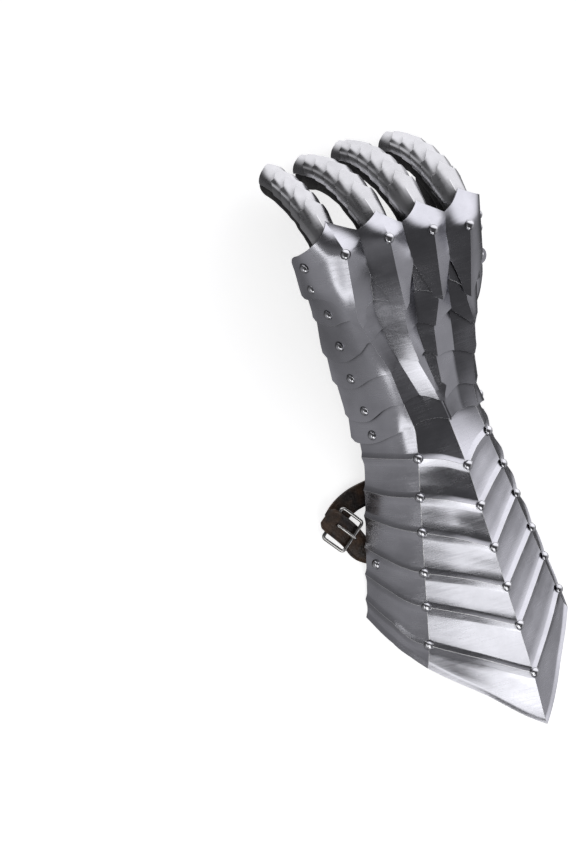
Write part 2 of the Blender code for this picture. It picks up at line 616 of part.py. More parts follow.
# Strap with holes: from the rivet inside the wall of the little-finger side, out below the edge, under the
# near bar of the buckle and over its far bar: x, y, z, width direction, share of the width
TONGUE = [(-46.9, -121, 21.5, (0, 1, 0.3)), (-49.8, -118.5, 13.5, (0, 1, 0.4)), (-51.3, -116.2, 7.2, (0, 1, 0.5)), (-51.6, -114.2, 3.0, (0.1, 1, 0.5)),
          (-54.0, -111.2, -0.2, (0.5, 0.8, 0.2)), (-57.2, -107.6, -0.9, (0.7, 0.7, 0.05)), (-59.4, -103, -1.2, (0.75, 0.66, 0)), (-62.0, -97.6, -0.8, (0.8, 0.6, 0)),
          (-66.5, -91.0, 0.6, (0.8, 0.6, 0)), (-71.6, -84.2, 2.0, (0.8, 0.6, 0)), (-74.6, -80.2, 1.5, (0.8, 0.6, 0), 0.94), (-76.2, -78.0, 0.9, (0.8, 0.6, 0), 0.6)]
# Strap that carries the buckle, under the cuff to the rivet inside the other wall
CARRIER = [(-68.5, -85.5, -5.2, (0.75, -0.65, 0)), (-63, -81, -5.2, (0.6, -0.8, 0)), (-56, -77.8, -5.2, (0.3, -1, 0)), (-47, -76, -5.2, (0.1, -1, 0)),
           (-25, -75, -5.2, (0, -1, 0)), (0, -75, -5.2, (0, -1, 0)), (25, -75, -5.0, (0, -1, 0)), (36.5, -75, -3.4, (0, -1, 0)), (42.0, -75, 0.8, (0, -1, 0)),
           (43.9, -75, 6.5, (0, -1, 0)), (42.4, -75, 14, (0, -1, 0)), (40.6, -75, 21, (0, -1, 0))]
band("strap_tongue", TONGUE, STRAP_W, STRAP_T)
band("strap_carrier", CARRIER, STRAP_W, STRAP_T)

# Wire frame and prong of the buckle, on the buckle's own plane
BUCKLE_AT = Vector((-66.5, -91.0, 0.65))
BUCKLE_LONG = Vector((0.80, 0.60, 0.0)).normalized()
BUCKLE_SHORT = Vector((0.60, -0.80, 0.0)).normalized()
FRAME_L, FRAME_S, WIRE = 23.0, 17.0, 1.1


def wire(name, points, radius, cyclic, look):
    curve = bpy.data.curves.new(name, "CURVE")
    curve.dimensions = "3D"
    spline = curve.splines.new("POLY")
    spline.points.add(len(points) - 1)
    for p, q in zip(spline.points, points):
        p.co = (*(q * MM), 1)
    spline.use_cyclic_u = cyclic
    curve.bevel_depth = radius * MM
    curve.bevel_resolution = 1
    curve.use_fill_caps = not cyclic
    curve.render_resolution_u = 0
    curve.resolution_u = 2
    tmp = bpy.data.objects.new(name + "_curve", curve)
    tools.objects.link(tmp)
    deps = bpy.context.evaluated_depsgraph_get()
    mesh = bpy.data.meshes.new_from_object(tmp.evaluated_get(deps))
    bpy.data.objects.remove(tmp)
    mesh.name = name
    bm = bmesh.new()
    bm.from_mesh(mesh)
    bmesh.ops.remove_doubles(bm, verts=bm.verts, dist=0.00001)
    bmesh.ops.recalc_face_normals(bm, faces=bm.faces)
    bm.to_mesh(mesh)
    bm.free()
    mesh.materials.clear()
    mesh.shade_smooth()
    mesh.set_sharp_from_angle(angle=radians(50))
    return add_object(name, mesh, look)


nrm = BUCKLE_LONG.cross(BUCKLE_SHORT)
if nrm.z < 0:
    nrm = -nrm
ring = []
hl, hs, rc = FRAME_L / 2, FRAME_S / 2, 2.0
for cx, cy, a0 in ((hl - rc, hs - rc, 0), (-hl + rc, hs - rc, 90), (-hl + rc, -hs + rc, 180), (hl - rc, -hs + rc, 270)):
    for k in range(3):
        a = radians(a0 + 45 * k)
        ring.append((cx + rc * cos(a), cy + rc * sin(a)))


def buckle_point(l, s, h=0.0):
    """Its near bar lies over the tongue and its far bar under it, so the frame leans a little."""
    return BUCKLE_AT + BUCKLE_LONG * l + BUCKLE_SHORT * s + nrm * (h + 1.25 * s / (FRAME_S / 2))


frame_ob = wire("buckle_frame", [buckle_point(l, s) for l, s in ring], WIRE, True, NICKEL)
wire("buckle_prong", [buckle_point(0, -6.0, 4.6), buckle_point(0, 0, 4.3), buckle_point(0, 6, 3.4), buckle_point(0, 9.8, 1.5 + 0.95)], 0.9, False, NICKEL)


# ------------------------------------------------------------------ thumb hinge
def leaf(name, root, down, axis, nrm, length, width, thick, barrels):
    """Flat leaf with a round end and its barrels round the pin, one solid with its rivet head."""
    outline = [(-width / 2, 2.6)]
    for centre, long in sorted(barrels):
        a, b = max(centre - long / 2, -width / 2 + 0.05), min(centre + long / 2, width / 2 - 0.05)
        outline += [(a, 2.6), (a, 0.8), (b, 0.8), (b, 2.6)]
    outline.append((width / 2, 2.6))
    for k in range(7):
        a = pi * k / 6
        outline.append((width / 2 * cos(a), length - width / 2 + width / 2 * sin(a)))
    n = len(outline)
    verts = [(x, y, z) for z in (-thick / 2, thick / 2) for x, y in outline]
    faces = [tuple(reversed(range(n))), tuple(range(n, 2 * n))] + [(k, (k + 1) % n, (k + 1) % n + n, k + n) for k in range(n)]
    mesh = mesh_from(name, verts, faces)
    bm = bmesh.new()
    bm.from_mesh(mesh)
    basis = Matrix((axis, down, nrm)).transposed().to_4x4()
    place = Matrix.Translation((root + nrm * 0.0) * MM) @ basis
    bmesh.ops.transform(bm, matrix=place, verts=bm.verts)
    bmesh.ops.recalc_face_normals(bm, faces=bm.faces)
    bm.to_mesh(mesh)
    bm.free()
    ob = add_object(name, mesh, STEEL)
    for k, (centre, long) in enumerate(barrels):
        bm = bmesh.new()
        turn = axis.to_track_quat("Z", "X").to_matrix().to_4x4()
        bmesh.ops.create_cone(bm, cap_ends=True, segments=12, radius1=2.1 * MM, radius2=2.1 * MM, depth=long * MM,
                              matrix=Matrix.Translation((root + axis * centre) * MM) @ turn)
        m = bpy.data.meshes.new(f"{name}_barrel_{k}")
        bm.to_mesh(m)
        bm.free()
        boolean(ob, add_object(f"{name}_barrel_{k}", m, None, cutter=True), "UNION")
    bm = bmesh.new()
    turn = axis.to_track_quat("Z", "X").to_matrix().to_4x4()
    bmesh.ops.create_cone(bm, cap_ends=True, segments=12, radius1=1.3 * MM, radius2=1.3 * MM, depth=30 * MM,
                          matrix=Matrix.Translation(root * MM) @ turn)
    m = bpy.data.meshes.new(f"{name}_bore")
    bm.to_mesh(m)
    bm.free()
    boolean(ob, add_object(f"{name}_bore", m, None, cutter=True), "DIFFERENCE")
    rivet_heads(ob, [(root + down * (length - width / 2) + nrm * (thick / 2), nrm, 0.6)], radius=2.7, height=2.1)
    return ob


HINGE_W, HINGE_T = 10.4, 1.4
PIN = Vector((51.6, 55.0, 19.6))
HAND_LEAF_LEAN, THUMB_LEAF_DROP = 6.4, 13.0    # degrees from upright, and below level
PIN_AXIS = Vector((0.14, 0.99, 0)).normalized()
a, b = radians(HAND_LEAF_LEAN), radians(THUMB_LEAF_DROP)
for name, along, axis, length, barrels in (
        ("hinge_leaf_hand", Vector((-sin(a), 0, cos(a))), PIN_AXIS, 18.5, [(0, 4.0)]),
        ("hinge_leaf_thumb", Vector((cos(b), 0, -sin(b))), -PIN_AXIS, 18.0, [(-3.8, 3.0), (3.8, 3.0)])):
    along = (along - axis * along.dot(axis)).normalized()
    leaf(name, PIN, along, axis, axis.cross(along), length, HINGE_W, HINGE_T, barrels)
bm = bmesh.new()
bmesh.ops.create_cone(bm, cap_ends=True, segments=12, radius1=1.0 * MM, radius2=1.0 * MM, depth=11.2 * MM,
                      matrix=Matrix.Translation(PIN * MM) @ PIN_AXIS.to_track_quat("Z", "X").to_matrix().to_4x4())
pin_mesh = bpy.data.meshes.new("hinge_pin")
bm.to_mesh(pin_mesh)
bm.free()
pin_mesh.shade_smooth()
pin_mesh.set_sharp_from_angle(angle=radians(40))
add_object("hinge_pin", pin_mesh, STEEL)
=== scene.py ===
# Looks of the armoured gauntlet: fluted steel plates, scaled fingers, black leather glove, strap and buckle.
import bpy
import bmesh
import numpy as np
from math import sin, cos, tan, radians, pi, sqrt
from mathutils import Vector, Matrix


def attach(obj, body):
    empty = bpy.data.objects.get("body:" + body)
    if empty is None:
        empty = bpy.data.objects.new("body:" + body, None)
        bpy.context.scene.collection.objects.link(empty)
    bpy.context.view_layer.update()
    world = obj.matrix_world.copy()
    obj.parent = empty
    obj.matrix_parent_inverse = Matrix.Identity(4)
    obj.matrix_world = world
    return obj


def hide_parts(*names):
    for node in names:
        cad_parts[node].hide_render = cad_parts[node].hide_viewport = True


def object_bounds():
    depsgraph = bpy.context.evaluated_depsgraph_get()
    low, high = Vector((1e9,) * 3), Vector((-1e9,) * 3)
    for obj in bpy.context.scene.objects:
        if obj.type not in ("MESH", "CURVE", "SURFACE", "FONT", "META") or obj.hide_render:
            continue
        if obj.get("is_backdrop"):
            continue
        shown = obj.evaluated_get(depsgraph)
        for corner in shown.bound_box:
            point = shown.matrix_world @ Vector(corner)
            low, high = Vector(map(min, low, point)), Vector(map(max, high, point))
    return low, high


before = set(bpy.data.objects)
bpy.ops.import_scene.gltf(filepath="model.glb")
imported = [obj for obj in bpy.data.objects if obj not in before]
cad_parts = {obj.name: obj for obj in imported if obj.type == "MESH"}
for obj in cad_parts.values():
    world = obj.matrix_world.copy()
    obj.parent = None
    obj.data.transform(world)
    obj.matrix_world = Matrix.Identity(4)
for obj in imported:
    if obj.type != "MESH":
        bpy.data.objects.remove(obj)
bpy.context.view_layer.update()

# ------------------------------------------------------------------ dimensions and tables, as in the frame (mm)
MM = 0.001
REST_TILT = 5.9
CUFF_CORNER_Y = -153.5
CENTRE_X, CENTRE_Y = -3.154, -46.992   # middle of the standing gauntlet's box
SHEET = 1.2                # steel sheet of cuff, lames and knuckle plate
SCALE_SHEET = 1.0          # steel sheet of the finger and thumb scales
LIFT = 2.6                 # rise of a lame from its tucked end to its free end
SCALE_LIFT = 2.1           # the same for a finger scale
TUCK = 5.0                 # hidden overlap of a lame
SCALE_TUCK = 3.6           # hidden overlap of a scale
SPIKE_LIFT = 5.2           # knuckle spikes ride over the first lame
RIVET_R, RIVET_H = 3.1, 2.5
FLUTE_H, FLUTE_W = 1.6, 4.2
LEATHER = 1.8
STRAP_W, STRAP_T = 16.0, 2.0

# ------------------------------------------------------------------ tables
# Lengthwise lines of the back of the hand, each a row of (y, x, z): flange edge, lower and upper bend,
# then knuckle ridges R1 (little finger) to R4 (index finger) with the valleys between them.
HAND = dict(
    FL=[(108, -70, 34), (91, -67, 29), (75, -64, 27), (57, -57.5, 20), (33, -52.5, 9), (8, -49, 6), (-14, -45.5, 5), (-38, -45.4, 5)],
    BL=[(108, -68, 43), (91, -64.5, 42), (75, -61.5, 42), (57, -55, 38), (33, -49.5, 31), (8, -44.5, 25), (-14, -40, 23), (-38, -38.3, 22.8)],
    AL=[(108, -60, 54), (91, -58, 55), (75, -56, 54), (57, -52.5, 50), (33, -45.5, 47), (8, -37.5, 44), (-14, -32.5, 41), (-38, -30.7, 39.3)],
    R1=[(118, -51, 50), (98, -49.2, 66), (56.2, -48.1, 58), (37.4, -42.2, 56), (15.5, -32.7, 53), (-9.1, -27.4, 50), (-30, -22.4, 48)],
    V1=[(108, -35.6, 60), (79, -34.8, 61), (56, -34, 54), (35, -30.5, 53), (15, -24, 52), (-10, -15, 50), (-30, -11.2, 49.6)],
    R2=[(115, -18.8, 56), (100, -22, 72), (53, -21.3, 66), (36, -19.8, 62), (16, -15.3, 58), (-16, -4.0, 53), (-30, -1.2, 51.3)],
    V2=[(103.5, -8.4, 64), (80, -8.1, 65), (56, -8, 58), (35, -11, 57), (15, -9, 55.5), (-16, -2.9, 53), (-30, 0, 51.5)],
    R3=[(112, 8.1, 56), (95.7, 7.5, 72), (51, 3.8, 66), (34.6, -1.4, 62), (14.5, -2.4, 58), (-16, -1.8, 53), (-30, 1.2, 51.3)],
    V3=[(100, 22.2, 62), (74.7, 17.5, 62), (50, 16, 56), (25, 13, 54.5), (6, 11, 52), (-16, 10, 50), (-30, 10.0, 49.6)],
    R4=[(109, 40.5, 50), (89, 35.2, 66), (44.5, 25.5, 60), (24.7, 27.5, 56), (6, 24.1, 53), (-12, 22, 50), (-30, 20.4, 48)],
    AR=[(108, 54, 50), (89, 49, 54), (60, 43, 51), (35, 36, 49), (12, 31, 45), (-14, 27.5, 42), (-38, 30.4, 39.4)],
    BR=[(108, 60, 40), (89, 54, 43), (60, 47, 41), (35, 41, 37), (12, 36, 28), (-14, 33.5, 25), (-38, 37.7, 22.8)],
    FR=[(110, 61, 30), (89, 56, 28), (60, 49, 24), (35, 43, 17), (12, 39, 10), (-14, 38.5, 6), (-38, 45.0, 5)],
)
LINE = list(HAND)

# Free (wrist-side) edge of each plate on each of those lines, as y
EDGES = dict(
    knuckle=dict(FL=67, BL=70, AL=66, R1=49.2, V1=79, R2=53, V2=80, R3=51, V3=74.7, R4=44.5, AR=63, BR=71, FR=68),
    lame_1=dict(FL=50, BL=49, AL=53, R1=55, V1=62.5, R2=57, V2=60, R3=55, V3=59, R4=49.5, AR=50, BR=47, FR=48),
    lame_2=dict(FL=23, BL=22.5, AL=30, R1=38, V1=42.5, R2=36.5, V2=39.5, R3=35, V3=40, R4=25.5, AR=29, BR=23, FR=23),
    lame_3=dict(FL=3, BL=3, AL=11.5, R1=13.5, V1=20.5, R2=16.5, V2=20.5, R3=15, V3=13, R4=6.5, AR=9, BR=3, FR=3),
    lame_4=dict(FL=-21, BL=-21, AL=-11, R1=-8.5, V1=-7, R2=-14, V2=-15, R3=-15, V3=-9.5, R4=-14, AR=-12, BR=-20, FR=-20),
    lame_5=dict(FL=-37, BL=-36, AL=-29.5, R1=-25, V1=-24.5, R2=-28, V2=-29.5, R3=-28, V3=-26, R4=-28, AR=-29.5, BR=-36, FR=-37),
)
# Finger-side edge of the knuckle plate on each line, as y, and the row of its knees
FRONT = dict(FL=97, BL=100, AL=107, R1=117, V1=107.5, R2=114.5, V2=103.5, R3=111.8, V3=100, R4=108.6, AR=101, BR=98, FR=97)
KNEE = dict(FL=88, BL=90, AL=94, R1=98, V1=94, R2=100, V2=92, R3=95.7, V3=88, R4=89, AR=90, BR=92, FR=93)

# Cuff: lengthwise lines as rows of (y, x, z), ridges L, M and R, side walls down to the edge
CUFF = dict(
    EL=[(-24, -43.5, 6.5), (-51, -45, 10.4), (-111, -56.2, 4.0), (-153.5, -64.2, 0.28)],
    BL=[(-24, -38.6, 22.6), (-47, -38.5, 24.5), (-71.4, -43.2, 25.5), (-106, -49.5, 25.5), (-141, -56, 25.5), (-167, -60.5, 24)],
    AL=[(-24, -31, 40.0), (-47, -30.8, 39), (-71.4, -36.2, 39), (-119, -45.2, 39.5), (-141, -49.5, 40), (-175, -56.5, 38)],
    L=[(-24, -23.8, 48.6), (-30, -22.4, 48), (-46.9, -25.2, 48), (-71.4, -30.2, 48.2), (-93.5, -34.5, 48.6), (-119.3, -39.6, 49), (-141, -43.8, 49.5), (-166, -48.6, 49.9), (-181, -52.5, 49)],
    ML=[(-24, -12.3, 49.7), (-30, -11.2, 49.6), (-58, -12.8, 55.6), (-84, -15.6, 59.2), (-137, -21, 64.5), (-178, -25.2, 69.5), (-206, -27, 71.2)],
    M=[(-22, -1.6, 52.2), (-30, 0, 51.5), (-57.9, 0, 61.4), (-84.3, 0, 66.4), (-111.6, 0, 71.6), (-137.3, 0, 76.6), (-162.8, 0, 81.5), (-194.4, 0, 87.0), (-232.4, 0, 89.2)],
)
for left, right in (("ML", "MR"), ("L", "R"), ("AL", "AR"), ("BL", "BR"), ("EL", "ER")):
    CUFF[right] = [(y, -x, z) for y, x, z in CUFF[left]]
CUFF["MR"][0] = (-24, 10.0, 49.7)
CUFF["R"][0] = (-24, 20.9, 48.6)
CUFF["AR"][0] = (-24, 28.5, 40.8)
CUFF["BR"][0] = (-24, 35.2, 24.0)
CUFF["ER"][0] = (-24, 41.4, 6.5)
CUFF_LINE = ["EL", "BL", "AL", "L", "ML", "M", "MR", "R", "AR", "BR", "ER"]
# y of the six flutes on each cuff line, and of the cuff's two ends
FLUTES = dict(
    E=(-46.5, -68, -85, -106, -124, -141), B=(-46.5, -70, -89, -112, -132, -152.5), A=(-46.8, -71, -92, -117, -138.5, -162.5),
    L=(-46.9, -71.4, -93.5, -119.3, -141, -166), ML=(-50.8, -76.8, -101.2, -127.2, -150.8, -179), M=(-57.9, -84.3, -111.6, -137.3, -162.8, -194.4))
CUFF_END = dict(E=-153.5, B=-167, A=-175, L=-181, ML=-204.5, M=-232.4)
CUFF_START = dict(E=-30, B=-30, A=-24.5, L=-24, ML=-24, M=-23.5)

# Fingers: where the middle of the glove finger leaves the knuckles, its heading, the pitch at the
# knuckle, middle joint and end, its length (0: down to the floor), glove radius and number of scales
FINGERS = dict(
    pinky=dict(x=-51.8, y=108.0, z=38.5, yaw=-2, pitch=(42, 64, 84), length=63, radius=8.2, scales=4),
    ring=dict(x=-20.4, y=108.5, z=44.4, yaw=-5, pitch=(42, 69, 95.9), length=0, radius=8.7, scales=5),
    middle=dict(x=7.6, y=106.5, z=44.0, yaw=-5, pitch=(38, 65, 95.9), length=0, radius=8.9, scales=6),
    index=dict(x=39.8, y=101.5, z=38.6, yaw=-2, pitch=(38, 65, 95.9), length=0, radius=8.9, scales=5),
)
# Thumb: middle line of the glove thumb as (x, y, z, radius)
THUMB = [(20, 6, 3, 10.5), (47.5, 36, -3.5, 13.3), (54.5, 54, -4.5, 12.3), (57, 74, -6.5, 11), (57, 94, -9.3, 10), (54.5, 112, -12.3, 9.2)]
THUMB_UP = (0.80, 0.0, 0.60)
THUMB_ROOT = 18.9      # length of the thumb inside the palm, before its armour is measured from 0

# Palm and sleeve of the glove: y, left, right, top, bottom
PALM = [(-96, -33, 33, 50, 13), (-62, -31, 31, 46, 9), (-32, -30.5, 29, 43.5, 6), (0, -37, 30, 46.5, 1), (30, -43.5, 35, 48.5, -2),
        (60, -50, 41, 50, -2), (82, -55, 44, 51.5, 4), (94, -55, 44, 48.5, 19)]


# ------------------------------------------------------------------ small helpers
def interp(rows, y, k):
    rows = sorted(rows)
    if y <= rows[0][0]:
        a, b = rows[0], rows[1]
        if y > rows[0][0] - 12:
            return a[k] + (b[k] - a[k]) * (y - a[0]) / (b[0] - a[0])
        return a[k]
    for a, b in zip(rows, rows[1:]):
        if y <= b[0]:
            return a[k] + (b[k] - a[k]) * (y - a[0]) / (b[0] - a[0])
    return rows[-1][k]


def mitres(pts):
    """Outward offset directions of an open section line in its own plane."""
    norms = []
    for (ax, az), (bx, bz) in zip(pts, pts[1:]):
        dx, dz = bx - ax, bz - az
        n = max(sqrt(dx * dx + dz * dz), 1e-6)
        norms.append((-dz / n, dx / n))
    out = [norms[0]]
    for (ax, az), (bx, bz) in zip(norms, norms[1:]):
        s = max(1 + ax * bx + az * bz, 0.75)
        out.append(((ax + bx) / s, (az + bz) / s))
    out.append(norms[-1])
    return out


def hand_point(line, y, lift):
    sec = [(interp(HAND[n], y, 1), interp(HAND[n], y, 2)) for n in LINE]
    k = LINE.index(line)
    m = mitres(sec)[k]
    return Vector((sec[k][0] + m[0] * lift, y, sec[k][1] + m[1] * lift))


def cuff_point(line, y, lift):
    sec = [(interp(CUFF[n], y, 1), interp(CUFF[n], y, 2)) for n in CUFF_LINE]
    k = CUFF_LINE.index(line)
    m = mitres(sec)[k]
    return Vector((sec[k][0] + m[0] * lift, y, sec[k][1] + m[1] * lift))


def ellipse_ring(origin, side, up, a, b, n, phase=0.0, power=2.0):
    pts = []
    for i in range(n):
        t = 2 * pi * i / n + phase
        c, s = cos(t), sin(t)
        f = (abs(c) ** power + abs(s) ** power) ** (-1.0 / power)
        pts.append(origin + side * (a * c * f) + up * (b * s * f))
    return pts


def hand_spot(u, y, lift, depth=0.7):
    """Rivet place at a fraction u between two of the hand's lines."""
    k = min(int(u), len(LINE) - 2)
    f = u - k
    p = hand_point(LINE[k], y, lift).lerp(hand_point(LINE[k + 1], y, lift), f)
    q = hand_point(LINE[k], y + 4, lift).lerp(hand_point(LINE[k + 1], y + 4, lift), f)
    if f == 0:
        a, b = hand_point(LINE[k - 1], y, lift), hand_point(LINE[k + 1], y, lift)
    else:
        a, b = hand_point(LINE[k], y, lift), hand_point(LINE[k + 1], y, lift)
    return p, (b - a).cross(q - p), depth


def key(line):
    return {"EL": "E", "ER": "E", "BL": "B", "BR": "B", "AL": "A", "AR": "A", "R": "L", "MR": "ML"}.get(line, line)


PLATES = ["knuckle", "lame_1", "lame_2", "lame_3", "lame_4", "lame_5"]
LAME_RIVET = dict(lame_1=(57.0, 65.5), lame_2=(33.5, 33.5), lame_3=(9.5, 9.5), lame_4=(-14.0, -13.0), lame_5=(-31.0, -31.0))


def finger_path(f):
    """Middle line of a glove finger: list of (s, origin, side, up, forward)."""
    yaw = radians(f["yaw"])
    head = Vector((sin(yaw), cos(yaw), 0))
    side = Vector((cos(yaw), -sin(yaw), 0))
    p = Vector((f["x"], f["y"], f["z"]))
    tilt = tan(radians(REST_TILT))
    step = 1.0
    start, mid, end = f["pitch"]
    out = []
    s = -24.0
    for k in range(24):
        pitch = radians(start * (11.5 - k) / 12)
        p = p - (head * cos(pitch) - Vector((0, 0, 1)) * sin(pitch))
    while True:
        if s < 0:
            deg = start * (s + 12) / 12
        elif s < 30:
            deg = start + (mid - start) * s / 30
        elif s < 62:
            deg = mid + (end - mid) * (s - 30) / 32
        else:
            deg = end
        pitch = radians(deg)
        fwd = head * cos(pitch) - Vector((0, 0, 1)) * sin(pitch)
        floor = -tilt * (p.y - CUFF_CORNER_Y)
        if not f["length"] and s > 62:
            # the last stretch stands straight up from the floor, so that the fingertip ends in a level disc
            side, fwd = Vector((1, 0, 0)), Vector((0, -sin(radians(REST_TILT)), -cos(radians(REST_TILT))))
            if p.z <= floor + 0.02:
                p.z = floor
        up = side.cross(fwd)
        out.append((s, p.copy(), side, up, fwd))
        if f["length"] and s >= f["length"]:
            break
        if not f["length"] and p.z <= floor + 0.02:
            break
        room = (p.z - floor) / max(sin(pitch), 0.2)
        d = min(step, room) if not f["length"] else min(step, f["length"] - s)
        if d < 1e-4:
            break
        p = p + fwd * d
        s += d
    return out


def at(path, s):
    if s <= path[0][0]:
        return path[0]
    for a, b in zip(path, path[1:]):
        if s <= b[0]:
            t = (s - a[0]) / max(b[0] - a[0], 1e-9)
            return (s, a[1].lerp(b[1], t), a[2].lerp(b[2], t).normalized(), a[3].lerp(b[3], t).normalized(), a[4].lerp(b[4], t).normalized())
    s0, p, side, up, fwd = path[-1]
    return (s, p + fwd * (s - s0), side, up, fwd)


# Roof-shaped section of a scale over a glove finger of radius 1, as (across, above)
ROOF = [(-0.90, 0.52), (-0.78, 0.78), (-0.50, 1.00), (0.0, 1.20), (0.70, 0.86), (1.00, 0.42), (1.10, -0.06)]
THUMB_ROOF = [(-1.10, -0.06), (-1.00, 0.42), (-0.70, 0.86), (0.0, 1.20), (0.70, 0.86), (1.00, 0.42), (1.10, -0.06)]
# How far the free edge of a scale falls behind its tip on each of those lines
SWEEP = [11.0, 9.0, 5.5, 0.0, 5.5, 9.0, 11.0]
TIP_SWEEP = [3.5, 3.0, 2.4, 0.0, 2.4, 3.0, 3.5]


def scale_point(path, section, k, s, lift):
    s0, origin, side, up, fwd = at(path, s)
    m = mitres(section)[k]
    a, b = section[k][0] + m[0] * lift, section[k][1] + m[1] * lift
    return origin + side * a + up * b


def radius_at(f, s, total):
    """Glove finger radius, thinner towards the tip."""
    t = max(0.0, min(1.0, s / total))
    return f["radius"] * (1.06 - 0.14 * t)


def thumb_path():
    """Smooth line through the thumb's rows, with the armour's upward direction."""
    pts = [Vector(r[:3]) for r in THUMB]
    out, s, last = [], -THUMB_ROOT, None
    for i in range(len(pts) - 1):
        p0 = pts[max(i - 1, 0)]
        p1, p2 = pts[i], pts[i + 1]
        p3 = pts[min(i + 2, len(pts) - 1)]
        for k in range(8 if i < len(pts) - 2 else 9):
            t = k / 8
            p = 0.5 * ((2 * p1) + (p2 - p0) * t + (2 * p0 - 5 * p1 + 4 * p2 - p3) * t * t + (3 * p1 - p0 - 3 * p2 + p3) * t ** 3)
            r = THUMB[i][3] + (THUMB[i + 1][3] - THUMB[i][3]) * t
            if last is not None:
                s += (p - last).length
            last = p
            out.append([s, p, r])
    frames = []
    for i, (s, p, r) in enumerate(out):
        a, b = out[max(i - 1, 0)][1], out[min(i + 1, len(out) - 1)][1]
        fwd = (b - a).normalized()
        up = Vector(THUMB_UP)
        up = (up - fwd * up.dot(fwd)).normalized()
        frames.append((s, p, fwd.cross(up), up, fwd))
    return frames, [(s, r) for s, p, r in out]


tpath, tradii = thumb_path()
t_total = tpath[-1][0]


def thumb_radius(s):
    for (a, ra), (b, rb) in zip(tradii, tradii[1:]):
        if s <= b:
            return ra + (rb - ra) * max(s - a, 0) / (b - a)
    return tradii[-1][1]


# Teardrop base plate: s along the thumb, half width, crown above the thumb's middle line, drop of its sides,
# shift towards the palm, clear of the hand's plates
DOME = [(9.5, 5.0, 15.4, 13.2, 3.0), (14, 11.0, 17.0, 10.5, 2.6), (22, 15.4, 18.2, 6.0, 2.2), (34, 16.6, 18.0, 3.6, 1.6), (46, 15.8, 16.6, 2.6, 0.8), (57, 15.2, 15.6, 2.0, 0.3)]


# Strap with holes: from the rivet inside the wall of the little-finger side, out below the edge, under the
# near bar of the buckle and over its far bar: x, y, z, width direction, share of the width
TONGUE = [(-46.9, -121, 21.5, (0, 1, 0.3)), (-49.8, -118.5, 13.5, (0, 1, 0.4)), (-51.3, -116.2, 7.2, (0, 1, 0.5)), (-51.6, -114.2, 3.0, (0.1, 1, 0.5)),
          (-54.0, -111.2, -0.2, (0.5, 0.8, 0.2)), (-57.2, -107.6, -0.9, (0.7, 0.7, 0.05)), (-59.4, -103, -1.2, (0.75, 0.66, 0)), (-62.0, -97.6, -0.8, (0.8, 0.6, 0)),
          (-66.5, -91.0, 0.6, (0.8, 0.6, 0)), (-71.6, -84.2, 2.0, (0.8, 0.6, 0)), (-74.6, -80.2, 1.5, (0.8, 0.6, 0), 0.94), (-76.2, -78.0, 0.9, (0.8, 0.6, 0), 0.6)]
# Strap that carries the buckle, under the cuff to the rivet inside the other wall
CARRIER = [(-68.5, -85.5, -5.2, (0.75, -0.65, 0)), (-63, -81, -5.2, (0.6, -0.8, 0)), (-56, -77.8, -5.2, (0.3, -1, 0)), (-47, -76, -5.2, (0.1, -1, 0)),
           (-25, -75, -5.2, (0, -1, 0)), (0, -75, -5.2, (0, -1, 0)), (25, -75, -5.0, (0, -1, 0)), (36.5, -75, -3.4, (0, -1, 0)), (42.0, -75, 0.8, (0, -1, 0)),
           (43.9, -75, 6.5, (0, -1, 0)), (42.4, -75, 14, (0, -1, 0)), (40.6, -75, 21, (0, -1, 0))]

# Wire frame and prong of the buckle, on the buckle's own plane
BUCKLE_AT = Vector((-66.5, -91.0, 0.65))
BUCKLE_LONG = Vector((0.80, 0.60, 0.0)).normalized()
BUCKLE_SHORT = Vector((0.60, -0.80, 0.0)).normalized()
FRAME_L, FRAME_S, WIRE = 23.0, 17.0, 1.1


nrm = BUCKLE_LONG.cross(BUCKLE_SHORT)
if nrm.z < 0:
    nrm = -nrm
ring = []
hl, hs, rc = FRAME_L / 2, FRAME_S / 2, 2.0
for cx, cy, a0 in ((hl - rc, hs - rc, 0), (-hl + rc, hs - rc, 90), (-hl + rc, -hs + rc, 180), (hl - rc, -hs + rc, 270)):
    for k in range(3):
        a = radians(a0 + 45 * k)
        ring.append((cx + rc * cos(a), cy + rc * sin(a)))


def buckle_point(l, s, h=0.0):
    """Its near bar lies over the tongue and its far bar under it, so the frame leans a little."""
    return BUCKLE_AT + BUCKLE_LONG * l + BUCKLE_SHORT * s + nrm * (h + 1.25 * s / (FRAME_S / 2))


HINGE_W, HINGE_T = 10.4, 1.4
PIN = Vector((51.6, 55.0, 19.6))
HAND_LEAF_LEAN, THUMB_LEAF_DROP = 6.4, 13.0    # degrees from upright, and below level
PIN_AXIS = Vector((0.14, 0.99, 0)).normalized()



# ------------------------------------------------------------------ placing and mesh helpers
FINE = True
TILT = radians(REST_TILT)
STAND = Matrix.Translation((-CENTRE_X * MM, -CENTRE_Y * MM, -CUFF_CORNER_Y * sin(TILT) * MM)) @ Matrix.Rotation(TILT, 4, "X")
looks = bpy.data.collections.new("gauntlet_looks")
bpy.context.scene.collection.children.link(looks)


def node_of(mat, kind, **values):
    n = mat.node_tree.nodes.new(kind)
    for key_name, value in values.items():
        setattr(n, key_name, value)
    return n


def principled(name, colour, rough, metal):
    m = bpy.data.materials.new(name)
    m.use_nodes = True
    b = m.node_tree.nodes["Principled BSDF"]
    b.inputs["Base Color"].default_value = (*colour, 1)
    b.inputs["Roughness"].default_value = rough
    b.inputs["Metallic"].default_value = metal
    return m, b


